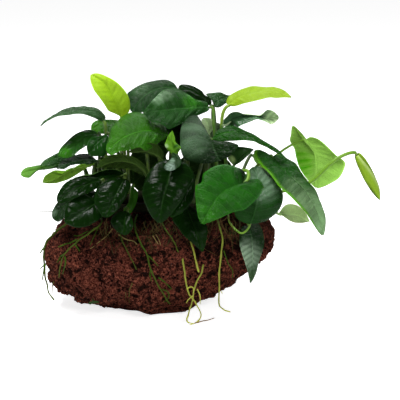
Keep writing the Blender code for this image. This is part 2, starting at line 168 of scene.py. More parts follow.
def sightline(x, z):
    """The direction from the eye through a point of the sheet."""
    return (CAMERA_AIM + Vector((x, 0, 0)) + SHEET_UP * z - EYE).normalized()


def at_depth(x, z, depth):
    """The place on a sightline at a given depth in y."""
    way = sightline(x, z)
    return EYE + way * ((depth - EYE.y) / way.y)


def on_sheet(spot):
    """Where a place in space shows on the sheet."""
    from_eye = spot - EYE
    scale = CAMERA_DISTANCE / -from_eye.dot(CAMERA_BACK)
    return Vector((from_eye.x, from_eye.dot(SHEET_UP))) * scale


print("eye at", [round(c) for c in EYE], "mm")

# %% [markdown]
# ## A short way to write shader nodes
# Every finish here is made of nodes, so helpers that add a node with its inputs in one call keep the
# recipes readable. An input is either a number or the output of another node.

# %% Shader helpers
def fill(tree, node, inputs):
    """Fills the inputs of a node with numbers or links."""
    for key, value in inputs.items():
        if isinstance(value, bpy.types.NodeSocket):
            tree.links.new(value, node.inputs[key])
        else:
            node.inputs[key].default_value = value


def add_node(tree, kind, inputs=None, **settings):
    """Adds one node, sets its options and fills its inputs."""
    made = tree.nodes.new(kind)
    for key, value in settings.items():
        setattr(made, key, value)
    fill(tree, made, inputs or {})
    return made


def calc(tree, operation, *values):
    """One Math node, and its output."""
    return add_node(tree, "ShaderNodeMath", dict(enumerate(values)), operation=operation).outputs[0]


def soft_step(tree, value, low, high, first=0.0, last=1.0):
    """Maps a value to a soft step between two limits."""
    inputs = {"Value": value, "From Min": low, "From Max": high, "To Min": first, "To Max": last}
    return add_node(tree, "ShaderNodeMapRange", inputs, interpolation_type="SMOOTHSTEP").outputs["Result"]


def mix_colour(tree, share, first, second, way="MIX"):
    """Mixes two colours, given as outputs or as red, green and blue."""
    made = add_node(tree, "ShaderNodeMix", {0: share}, data_type="RGBA", blend_type=way)
    for key, colour in ((6, first), (7, second)):
        fill(tree, made, {key: (*colour, 1) if isinstance(colour, tuple) else colour})
    return made.outputs[2]


def grain(tree, place, scale, detail, roughness=0.5):
    """A cloudy noise at a given scale."""
    inputs = {"Vector": place, "Scale": scale, "Detail": detail, "Roughness": roughness}
    return add_node(tree, "ShaderNodeTexNoise", inputs).outputs["Fac"]


def cells(tree, place, scale, output="Distance", feature="F1"):
    """A noise made of cells at a given scale."""
    made = add_node(tree, "ShaderNodeTexVoronoi", {"Vector": place, "Scale": scale}, feature=feature)
    return made.outputs[output]


def from_mesh(tree, name, output):
    """A value that is stored on the mesh."""
    return add_node(tree, "ShaderNodeAttribute", attribute_name=name).outputs[output]


def object_place(tree):
    """Where a point lies on its object, in metres."""
    return add_node(tree, "ShaderNodeTexCoord").outputs["Object"]


def add_bump(tree, shader, height, strength, distance):
    """Lets a height tilt the surface, and so the light on it."""
    made = add_node(tree, "ShaderNodeBump", {"Height": height, "Strength": strength, "Distance": distance})
    tree.links.new(made.outputs["Normal"], shader.inputs["Normal"])


def new_group(name, inputs, outputs):
    """An empty node group with named inputs, each with its usual value, and named outputs."""
    group = bpy.data.node_groups.new(name, "ShaderNodeTree")
    for label, value in inputs.items():
        socket = group.interface.new_socket(label, in_out="INPUT", socket_type="NodeSocketFloat")
        socket.default_value = value
    for label in outputs:
        group.interface.new_socket(label, in_out="OUTPUT", socket_type="NodeSocketFloat")
    return group, group.nodes.new("NodeGroupInput").outputs, group.nodes.new("NodeGroupOutput")


def use_group(tree, group, **values):
    """Places a group in a material with values of its own."""
    made = tree.nodes.new("ShaderNodeGroup")
    made.node_tree = group
    fill(tree, made, {label.replace("_", " "): value for label, value in values.items()})
    return made.outputs


def new_material(name, roughness, level=0.5, coat=0.0, coat_roughness=0.1):
    """A material whose plain numbers sit on its Principled shader."""
    made = bpy.data.materials.new(name)
    made.use_nodes = True
    shader = made.node_tree.nodes["Principled BSDF"]
    shader.inputs["Roughness"].default_value = roughness
    shader.inputs["Specular IOR Level"].default_value = level
    shader.inputs["Coat Weight"].default_value = coat
    shader.inputs["Coat Roughness"].default_value = coat_roughness
    return made, made.node_tree, shader


print("shader helpers ready")

# %% [markdown]
# ## The lava stone
# Lava stone is frozen froth: a round lump, broken into lumps and ledges, and full of pits from one to
# four millimetres wide that lie rim to rim. The solid has the lumps. Sculpting the pits by hand would
# take days, so the copy is remeshed evenly and each point is pushed in along its normal by a cell
# noise: every cell of the noise is one bubble, and only some cells are open. The foot is broken away
# or stepped in a few places and the face has a few hollows, so these are given one by one. How deep a
# point lies in its pit or hollow is kept on the mesh, so the finish can paint shade into the pits and
# hollows and leave the rims pale.

# %% Model the stone
PIT_LAYERS = [
    # bubble spacing, depth, share of open bubbles, rim radius as a share of the spacing
    (4.6, 0.8, 0.06, 0.36),
    (2.7, 0.85, 0.22, 0.46),
    (1.7, 0.75, 0.62, 0.52),
]
# How far the pits are warped, as pairs of the size of the noise and its strength.
WARPS = [(2.3, 0.6), (9.0, 1.8)]
# Lumps between the pits: their size, the layers of their noise and their height.
LUMPS = [(8.0, 4, 1.1), (1.7, 2, 0.32)]
# How much weaker and how much finer each further layer of that noise is.
LUMP_FADE = 0.9
LUMP_STEP = 2.1
STONE_VOXEL = 0.62
# The pits take some stone away, so the whole surface swells by this much first.
STONE_SWELL = 0.65
# The depth of pits and hollows that the finish takes for full painted shade.
DARK_PIT = 1.9
DARK_HOLLOW = 9
# The share of its faces that the stone keeps. Its flat foot needs few, so the pits lose almost nothing.
STONE_KEPT = 0.64
# The front foot of the stone is broken away a little left of the middle.
UNDERCUT_AT = -24
UNDERCUT_REACH = 13
UNDERCUT_RISE = 8
# Elsewhere the foot stands forward or steps back: where, how wide, and by how much.
FOOT_STEPS = [(-38, 6, 5), (-9, 8, 8), (27, 8, -9)]
# Both fade out up to these heights. They only touch the front, and get their full strength between
# these two distances before the middle of the stone.
UNDERCUT_TOP = 16
STEPS_TOP = 14
FRONT = (16, 30)
# The pits fade out between these heights, so that the foot stays flat.
FLAT_FOOT = (0.4, 3.0)
# Hollows in the face of the stone: where, how wide and how deep.
HOLLOWS = [((46, -43, 50), 9, 6), ((30, -48, 47), 6, 3), ((-64, -32, 26), 6, 2.5), ((-58, -38, 14), 5, 2.5),
           ((-12, -47, 30), 5, 1.5), ((56, -34, 30), 6, 2.5)]


def pit_depth(point):
    """How deep the bubbles of the rock reach at one point."""
    warped = point.copy()
    for size, strength in WARPS:
        warped += noise.noise_vector(point / size) * strength
    depth = 0
    for number, (spacing, deep, share, rim) in enumerate(PIT_LAYERS):
        away, centres = noise.voronoi(warped / spacing + Vector((number * 17.0, 0, 0)))
        luck = noise.cell(centres[0] * 31.7 + Vector((0.5, 0.5, number + 0.5)))
        if luck < share:
            wide = rim * (0.75 + 0.5 * luck / share)
            depth += deep * ease(0, 1, 1.25 * (1 - away[0] / wide))
    return depth


def weathered(point, normal):
    """Where one point of the smooth stone ends up, and how much shade is painted on it for its pit or hollow.
    """
    deep = pit_depth(point)
    lumps = sum(noise.fractal(point / size, LUMP_FADE, LUMP_STEP, layers) * height
                for size, layers, height in LUMPS)
    fade = ease(*FLAT_FOOT, point.z)
    hollow = sum(depth * bell((point - Vector(centre)).length, reach) for centre, reach, depth in HOLLOWS)
    spot = point + normal * ((STONE_SWELL + lumps - deep) * fade - hollow)
    front = ease(*FRONT, -point.y)
    near = bell(point.x - UNDERCUT_AT, UNDERCUT_REACH) * front
    spot.z += UNDERCUT_RISE * near * (1 - ease(0, UNDERCUT_TOP, point.z))
    for where, reach, forward in FOOT_STEPS:
        near = bell(point.x - where, reach) * front
        spot.y -= forward * near * (1 - ease(0, STEPS_TOP, point.z))
    spot.z = max(spot.z, 0)
    return spot, min(deep / DARK_PIT + hollow / DARK_HOLLOW, 1) * fade


def keep_modifiers(made):
    """Turns what the modifiers of an object make into its mesh."""
    graph = bpy.context.evaluated_depsgraph_get()
    mesh = bpy.data.meshes.new_from_object(made.evaluated_get(graph))
    made.modifiers.clear()
    made.data = mesh


def build_stone():
    """The stone as one fine mesh around the solid one."""
    made = bpy.data.objects.new("lava_stone_surface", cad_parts["stone"].data.copy())
    bpy.context.scene.collection.objects.link(made)
    remesh = made.modifiers.new("even", "REMESH")
    remesh.mode = "VOXEL"
    remesh.voxel_size = STONE_VOXEL * MM
    relax = made.modifiers.new("round", "SMOOTH")
    relax.factor = 0.5
    relax.iterations = 12
    keep_modifiers(made)
    mesh = made.data
    changed = [weathered(vertex.co / MM, normal.vector)
               for vertex, normal in zip(mesh.vertices, mesh.vertex_normals)]
    for vertex, (spot, _) in zip(mesh.vertices, changed):
        vertex.co = spot * MM
    # The share of painted shade for each point, for its pit or hollow, kept on the mesh under the name
    # hollow.
    painted_pit_shade = [dark for _, dark in changed]
    mesh.attributes.new("hollow", "FLOAT", "POINT").data.foreach_set("value", painted_pit_shade)
    made.modifiers.new("thin", "DECIMATE").ratio = STONE_KEPT
    keep_modifiers(made)
    made.data.shade_smooth()
    return made


def search_tree(mesh):
    """A tree that finds the nearest face of a mesh, or the face that a ray hits."""
    return BVHTree.FromPolygons([v.co for v in mesh.vertices], [p.vertices for p in mesh.polygons])


stone = build_stone()
stone_tree = search_tree(stone.data)
solid_tree = search_tree(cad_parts["stone"].data)
print("stone faces:", len(stone.data.polygons))

# %% [markdown]
# ## The finish of the stone
# The rock is matt and red-brown from iron, with rust-coloured and grey-brown parts and a few pale
# mineral grains. The pits are painted nearly black as painted shade, and the top is painted darker as
# the shadow that the leaves cast on it. Pits under a millimetre are too small for the mesh, so they are
# a bump made of the same kind of cell noise, and they are painted dark as shade too.

# %% Finish the stone
rock, tree, shader = new_material("lava_rock", 0.95, level=0.05)
place = object_place(tree)
fine = grain(tree, place, 640.0, 5.0, 0.70)
fine_colour = fine.node.outputs["Color"]
warp = add_node(tree, "ShaderNodeVectorMath", {0: fine_colour, "Scale": 0.0012}, operation="SCALE").outputs[0]
bent = add_node(tree, "ShaderNodeVectorMath", {0: place, 1: warp}, operation="ADD").outputs[0]
large_pores = cells(tree, bent, 430.0)
closed = soft_step(tree, large_pores.node.outputs["Color"], 0.38, 0.42)
wall = calc(tree, "MAXIMUM", soft_step(tree, large_pores, 0.20, 0.46), closed)
pore = calc(tree, "MULTIPLY", wall, soft_step(tree, cells(tree, bent, 880.0), 0.20, 0.42))
broad = soft_step(tree, grain(tree, place, 55.0, 4.0, 0.6), 0.36, 0.64)
warm = mix_colour(tree, broad, (0.042, 0.011, 0.007), (0.118, 0.031, 0.019))
grained = mix_colour(tree, soft_step(tree, fine, 0.46, 0.62), warm, (0.27, 0.076, 0.046))
pale = calc(tree, "MULTIPLY", soft_step(tree, cells(tree, bent, 1300.0, "Color"), 0.95, 0.98), 0.30)
speckled = mix_colour(tree, pale, grained, (0.35, 0.24, 0.20))
# Painted shade: the open pores are painted almost black.
porous = mix_colour(tree, pore, (0.006, 0.002, 0.002), speckled)
height = add_node(tree, "ShaderNodeSeparateXYZ", {0: place}).outputs["Z"]
# Painted shadow of the leaves: the stone is painted darker towards its top, where the leaves hang over it.
leaf_shadow_share = calc(tree, "MULTIPLY", soft_step(tree, height, 0.036, 0.064), 0.65)
leaf_shadowed = mix_colour(tree, leaf_shadow_share, porous, (0.012, 0.004, 0.003))
# Painted shade in the pits and hollows, from the share kept on the mesh.
shade = calc(tree, "MULTIPLY", soft_step(tree, from_mesh(tree, "hollow", "Fac"), 0.25, 0.95), 0.9)
fill(tree, shader, {"Base Color": mix_colour(tree, shade, leaf_shadowed, (0.006, 0.003, 0.002))})
rise = calc(tree, "ADD", calc(tree, "MULTIPLY", pore, 0.9), calc(tree, "MULTIPLY", fine, 0.7))
add_bump(tree, shader, rise, 1.0, 0.0017)
stone.data.materials.clear()
stone.data.materials.append(rock)
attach(stone, "root")
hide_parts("stone")
print("stone finished")

# %% [markdown]
# ## Tubes for the stem, stalks and roots
# The stem, the stalks and the roots are all round in section, so one helper makes them from a line of
# points with a radius and a colour for each point. A Bezier curve with a bevel would do, but a mesh
# lets the radius swell at every ring of the stem and closes the ends with a soft tip. The direction of
# the first ring is carried along the line, so that the tube doesn't twist.

# %% Tube helper
# How far the rounded end of a tube stands out, as a share of its radius.
TIP_REACH = 0.7


def new_form(*maps):
    """An empty bmesh with named UV maps, whose points each have a green."""
    form = bmesh.new()
    for name in maps:
        form.loops.layers.uv.new(name)
    form.verts.layers.float_color.new("green")
    return form


def add_vert(form, spot, colour):
    """One coloured point at a place in millimetres."""
    vert = form.verts.new(spot * MM)
    vert[form.verts.layers.float_color["green"]] = (*colour, 1)
    return vert


def add_face(form, verts, slot=0, map_name="skin", places=()):
    """One smooth face, with the place of each corner on a UV map."""
    face = form.faces.new(verts)
    face.material_index = slot
    face.smooth = True
    uv = form.loops.layers.uv[map_name]
    for loop, place in zip(face.loops, places):
        loop[uv].uv = place


def add_tube(form, line, radii, colours, sides, slot=0):
    """Adds a closed tube. Its UV runs round the tube and along it in centimetres."""
    ways = [(b - a).normalized() for a, b in zip(line, line[1:])]
    ways = [ways[0]] + [(a + b).normalized() for a, b in zip(ways, ways[1:])] + [ways[-1]]
    side = ways[0].orthogonal().normalized()
    rings = []
    for point, way, radius, colour in zip(line, ways, radii, colours):
        side = (side - way * side.dot(way)).normalized()
        up = way.cross(side)
        ring = []
        for i in range(sides):
            turn = math.tau * i / sides
            reach = radius(turn) if callable(radius) else radius
            ring.append(add_vert(form, point + (side * math.cos(turn) + up * math.sin(turn)) * reach, colour))
        rings.append(ring)
    ends = []
    for k, way in ((0, -ways[0]), (-1, ways[-1])):
        reach = radii[k](0) if callable(radii[k]) else radii[k]
        ends.append(add_vert(form, line[k] + way * (TIP_REACH * reach), colours[k]))
    run = 0
    for k in range(len(rings) - 1):
        length = (line[k + 1] - line[k]).length
        for i in range(sides):
            j = (i + 1) % sides
            places = [((i + a) / sides, (run + b * length) / 10) for a, b in ((0, 0), (1, 0), (1, 1), (0, 1))]
            add_face(form, (rings[k][i], rings[k][j], rings[k + 1][j], rings[k + 1][i]), slot, places=places)
        run += length
    for i in range(sides):
        j = (i + 1) % sides
        add_face(form, (ends[0], rings[0][j], rings[0][i]), slot)
        add_face(form, (ends[1], rings[-1][i], rings[-1][j]), slot)


def finish_mesh(name, form, materials):
    """Turns a bmesh into an object that belongs to the plant."""
    bmesh.ops.recalc_face_normals(form, faces=form.faces)
    mesh = bpy.data.meshes.new(name)
    form.to_mesh(mesh)
    form.free()
    for look in materials:
        mesh.materials.append(look)
    made = bpy.data.objects.new(name, mesh)
    bpy.context.scene.collection.objects.link(made)
    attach(made, "root")
    return made


print("tube helper ready")

# %% [markdown]
# ## The green skin of stem, stalks and roots
# All three have a satin skin that is streaked along its length and mottled. The same effect is used
# with other values on each, so it is a node group: streaks and mottles come out as masks, and a height
# for the bump.

# %% Skin group
usual = {"Streaks": 60.0, "Mottle": 500.0}
tree, given, result = new_group("streaked_skin", usual, ["Streak", "Mottle", "Height"])
skin_group = tree
flow = add_node(tree, "ShaderNodeUVMap", uv_map="skin").outputs["UV"]
stretch = add_node(tree, "ShaderNodeMapping", {"Vector": flow, "Scale": (9.0, 1.6, 1.0)}).outputs[0]
streaks = grain(tree, stretch, 3.0, 4.0)
mottles = grain(tree, object_place(tree), given["Mottle"], 4.0)
fill(tree, result, {
    "Streak": calc(tree, "MULTIPLY", soft_step(tree, streaks, 0.35, 0.7), given["Streaks"]),
    "Mottle": soft_step(tree, mottles, 0.35, 0.7),
    "Height": calc(tree, "ADD", streaks, mottles),
})


def skin_material(name, streak, roughness, mottle, level=0.3, coat=0.0):
    """A satin skin. Its colour comes from the mesh, and streaks and mottles of another colour lie on it."""
    made, tree, shader = new_material(name, roughness, level, coat=coat, coat_roughness=0.25)
    skin = use_group(tree, skin_group, Streaks=0.6, Mottle=mottle)
    green = from_mesh(tree, "green", "Color")
    dark = mix_colour(tree, 0.45, green, (0.0, 0.0, 0.0))
    streaked = mix_colour(tree, skin["Streak"], green, dark)
    light = mix_colour(tree, 0.25, green, streak)
    mottled = mix_colour(tree, calc(tree, "MULTIPLY", skin["Mottle"], 0.6), streaked, light)
    fill(tree, shader, {"Base Color": mottled})
    add_bump(tree, shader, skin["Height"], 0.5, 0.0002)
    return made


stem_skin = skin_material("stem_skin", (0.03, 0.022, 0.006), 0.70, 380.0, level=0.05)
stalk_skin = skin_material("stalk_skin", (0.30, 0.40, 0.05), 0.40, 260.0, coat=0.05)
root_skin = skin_material("root_skin", (0.05, 0.06, 0.006), 0.55, 420.0, level=0.10)
print("skins:", stem_skin.name, stalk_skin.name, root_skin.name)

# %% [markdown]
# ## The creeping stem
# Seen close, the stem is a thick green-brown rod with a ring at every old leaf scar, blunt and rounded
# at its growing end. It follows the top of the stone. A rod with a wavy radius gives the rings. Its
# line repeats the one of the solid, so that every leaf can start on it.

# %% Model the stem and its branch
STEM_RADIUS = 3.8
STEM_LINE = [(-50, 4), (-38, 8), (-24, 3), (-10, 6), (6, 0), (20, 4), (34, -2), (46, 2), (54, 0)]
BRANCH_RADIUS = 3.2
BRANCH_LINE = [(-47, -14), (-36, -20), (-22, -19), (-8, -22), (6, -21), (20, -22), (34, -18), (45, -10)]
# How far the stem lies above the highest stone under it.
STEM_LIFT = 0.75
SCAR_SPACING = 4.6
SCAR_HEIGHT = 0.28
# How much the radius swells in knobs, as a share.
KNOBS = 0.07
# The stone is felt for from this height, under the middle of the stem and this many points round it.
ABOVE_ALL = 120
RIM_POINTS = 8
# The ends get blunt over this many points of the line.
BLUNT_POINTS = 6
STEM_SIDES = 20
# The stem is green-brown, and is coloured far darker as painted shade, because it lies in the shadow of the
# leaves.
STEM_SHADED_GREEN = (0.008, 0.010, 0.003)


def top_of_stone(x, y, reach):
    """The highest point of the solid stone under the middle and the rim of a round spot."""
    highest = 0
    for i in range(RIM_POINTS + 1):
        turn = i * math.tau / RIM_POINTS
        spread = 0 if i == RIM_POINTS else reach
        start = Vector((x + spread * math.cos(turn), y + spread * math.sin(turn), ABOVE_ALL)) * MM
        hit = solid_tree.ray_cast(start, Vector((0, 0, -1)))[0]
        if hit:
            highest = max(highest, hit.z / MM)
    return highest


def stem_line(plan, radius):
    """The middle line of a creeping stem that lies on the stone."""
    flat = spline([Vector((x, y, 0)) for x, y in plan], 2)
    return [Vector((p.x, p.y, top_of_stone(p.x, p.y, radius) + radius + STEM_LIFT)) for p in flat]


def build_stem(name, node, line, radius):
    """One rod with rings of leaf scars and rounded ends."""
    smooth = spline(line, 9)
    run = 0
    radii = []
    for k, point in enumerate(smooth):
        run += (point - smooth[k - 1]).length if k else 0
        ring = abs(math.sin(math.pi * run / SCAR_SPACING)) ** 6
        end = min(k, len(smooth) - 1 - k) / BLUNT_POINTS
        blunt = math.sqrt(1 - (1 - min(end, 1)) ** 2 * 0.75)
        body = radius * blunt * (0.93 + 0.07 * noise.noise(point / 5)) + SCAR_HEIGHT * ring * blunt

        def reach(turn, body=body, point=point):
            knob = noise.noise(Vector((math.cos(turn) * 2, math.sin(turn) * 2, point.x / 3)))
            return body * (1 + KNOBS * knob)
        radii.append(reach)
    form = new_form("skin")
    add_tube(form, smooth, radii, [STEM_SHADED_GREEN] * len(smooth), STEM_SIDES)
    made = finish_mesh(name, form, [stem_skin])
    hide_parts(node)


lines = {
    "stem": (stem_line(STEM_LINE, STEM_RADIUS), STEM_RADIUS),
    "branch": (stem_line(BRANCH_LINE, BRANCH_RADIUS), BRANCH_RADIUS),
}
build_stem("creeping_stem", "rhizome", *lines["stem"])
build_stem("creeping_stem_branch", "rhizome_branch", *lines["branch"])
print("stems made")

# %% [markdown]
# ## What a blade is made of
# An anubias blade is leathery. It has one strong midrib, and side veins that leave it every few
# millimetres and bend towards the tip. Between them the blade is puffed up a little, and its margin
# is wavy. The side veins are far too fine to model one by one, so the UV of a blade says how far up
# the midrib the vein through a point starts, and how far out from the midrib it is. A node group draws
# veins, a fine net and mottles from it. The puffs between the veins use the same levels in the mesh,
# so that shape and pattern agree.

# %% Vein group
VEIN_SPACING = 3.4
# The UV of a blade counts a tenth of a metre as one, so that every blade fits on it.
MAP_SCALE = 100.0

usual = {"Vein Width": 0.16, "Net Size": 900.0, "Pebbles": 0.2}
tree, given, result = new_group("leaf_veins", usual, ["Veins", "Midrib", "Net", "Patches", "Height"])
vein_group = tree
blade_map = add_node(tree, "ShaderNodeUVMap", uv_map="blade").outputs["UV"]
split = add_node(tree, "ShaderNodeSeparateXYZ", {0: blade_map})
along = calc(tree, "MULTIPLY", split.outputs["X"], MAP_SCALE)
across = calc(tree, "MULTIPLY", calc(tree, "SUBTRACT", split.outputs["Y"], 0.5), MAP_SCALE)
place = object_place(tree)
level = calc(tree, "ADD", along, calc(tree, "MULTIPLY", grain(tree, place, 110.0, 2.0), 1.8))
level = calc(tree, "ADD", level, calc(tree, "MULTIPLY", calc(tree, "SIGN", across), VEIN_SPACING / 4))


def from_middle(spacing):
    """How far a point is from the middle between two veins, from 0 to a half."""
    phase = calc(vein_group, "FRACT", calc(vein_group, "DIVIDE", level, spacing))
    return calc(vein_group, "ABSOLUTE", calc(vein_group, "SUBTRACT", phase, 0.5))


vein_edge = calc(tree, "SUBTRACT", 0.5, given["Vein Width"])
main_vein = soft_step(tree, from_middle(VEIN_SPACING), vein_edge, 0.5)
small_vein = calc(tree, "MULTIPLY", soft_step(tree, from_middle(VEIN_SPACING / 3), 0.34, 0.5), 0.35)
veins = calc(tree, "MAXIMUM", main_vein, small_vein)
net = soft_step(tree, cells(tree, place, given["Net Size"], feature="DISTANCE_TO_EDGE"), 0.02, 0.22)
raised = calc(tree, "SUBTRACT", calc(tree, "MULTIPLY", net, 0.22), calc(tree, "MULTIPLY", veins, 0.55))
pebbles = soft_step(tree, grain(tree, place, 700.0, 2.0), 0.40, 0.72)
fill(tree, result, {
    "Veins": veins,
    "Midrib": soft_step(tree, calc(tree, "ABSOLUTE", across), 0.25, 0.75, 1.0, 0.0),
    "Net": net,
    "Patches": soft_step(tree, grain(tree, place, 120.0, 3.0), 0.30, 0.72),
    "Height": calc(tree, "ADD", raised, calc(tree, "MULTIPLY", pebbles, given["Pebbles"])),
})
print("vein group ready")

# %% [markdown]
# ## Leaf finishes
# One plant shows leaves of every age. A new leaf is thin, matt and yellow-green, and light comes
# through it. A fresh one is a full green. An old one is almost black-green and glossy, and where it
# faces the light it has a grey-green waxy sheen. The underside of any leaf is paler and duller. Each
# leaf keeps its own green on its mesh, with patches of another green, of painted sheen and of painted
# shade, and some thin leaves have their green painted paler as painted light that comes through them.
# The finishes only differ in gloss, in how finely the skin is pebbled and in how strongly the veins
# show. The veins of a dark leaf are lighter than the rest of it, those of a new leaf are darker.

# %% Leaf materials
def leaf_material(name, roughness, level, pebbles, mottle, vein, vein_colour, relief):
    """One finish for blades. The green itself comes from the blade."""
    made, tree, shader = new_material(name, roughness, level)
    group = use_group(tree, vein_group, Vein_Width=0.10, Net_Size=900.0, Pebbles=pebbles)
    green = from_mesh(tree, "green", "Color")
    patchy = mix_colour(tree, calc(tree, "MULTIPLY", group["Patches"], mottle), green, (0.0, 0.0, 0.0))
    light = mix_colour(tree, 1.0, green, vein_colour, "ADD")
    veined = mix_colour(tree, calc(tree, "MULTIPLY", group["Veins"], vein), patchy, light)
    ribbed = mix_colour(tree, calc(tree, "MULTIPLY", group["Midrib"], min(vein * 1.8, 1)), veined, light)
    netted = mix_colour(tree, calc(tree, "MULTIPLY", group["Net"], 0.12), ribbed, (0.0, 0.0, 0.0))
    rough = soft_step(tree, group["Patches"], 0, 1, roughness - 0.05, roughness + 0.07)
    fill(tree, shader, {"Base Color": netted, "Roughness": rough})
    add_bump(tree, shader, group["Height"], relief, 0.0004)
    return made


# For each age: roughness, specular level, pebbles, mottle, vein, the colour it adds, and relief.
FINISHES = {
    "new": (0.50, 0.10, 0.1, 0.06, 0.22, (-0.03, -0.045, 0), 0.3),
    "fresh": (0.10, 0.12, 1.2, 0.35, 0.40, (0.02, 0.08, 0.008), 0.8),
    "old": (0.08, 0.055, 0.1, 0.30, 0.40, (0.005, 0.018, 0.002), 0.3),
    "sheen": (0.12, 0.10, 1.0, 0.35, 0.35, (0.02, 0.05, 0.015), 0.8),
    "under": (0.60, 0.10, 0.1, 0.15, 0.50, (0.05, 0.08, 0.02), 0.7),
}
leaf_finish = {age: leaf_material("blade_" + age, *values) for age, values in FINISHES.items()}
print("leaf finishes:", sorted(leaf_finish))

# %% [markdown]
# ## The leaves, one row each
# A row gives a leaf its name, the place on the stem where its stalk starts, how deep its base, middle
# and tip lie, which way its face looks, its age and its dress. The dress is what makes it differ from
# other leaves of its age. Then come three traced lines: the midrib and the two margins, each between
# the base and the tip. Three leaves at the back and the rolled one aren't traced. They have places in
# space instead of depths.

# %% Leaf values
# The shape of a blade that isn't traced. Each row is a share of its length, how far its margin reaches
# out as a share of half its width, and how far it sweeps ahead as a share of the length.
BLADE_SECTIONS = [
    (0.00, 0.1915, -0.036),
    (0.02, 0.3192, -0.036),
    (0.12, 0.80, -0.048),
    (0.30, 1.00, -0.012),
    (0.50, 0.95, 0.02),
    (0.70, 0.70, 0.04),
    (0.87, 0.35, 0.03),
    (0.99, 0.04, 0.00),
    (1.00, 0.009, 0.00),
]
# The greens of each age: the upper side, the tip and the underside.
GREENS = {
    "new": ((0.36, 0.62, 0.02), (0.42, 0.68, 0.04), (0.32, 0.50, 0.04)),
    "fresh": ((0.030, 0.150, 0.008), (0.05, 0.20, 0.012), (0.10, 0.24, 0.03)),
    "old": ((0.0025, 0.013, 0.0012), (0.004, 0.020, 0.002), (0.03, 0.08, 0.01)),
    "sheen": ((0.016, 0.070, 0.012), (0.03, 0.10, 0.02), (0.06, 0.14, 0.02)),
    "under": ((0.015, 0.045, 0.004), (0.02, 0.06, 0.006), (0.035, 0.075, 0.008)),
}
UNDER = (0.05, 0.12, 0.02)
STALK_GREEN = (0.030, 0.070, 0.008)
BRIGHT_STALK = (0.14, 0.30, 0.02)
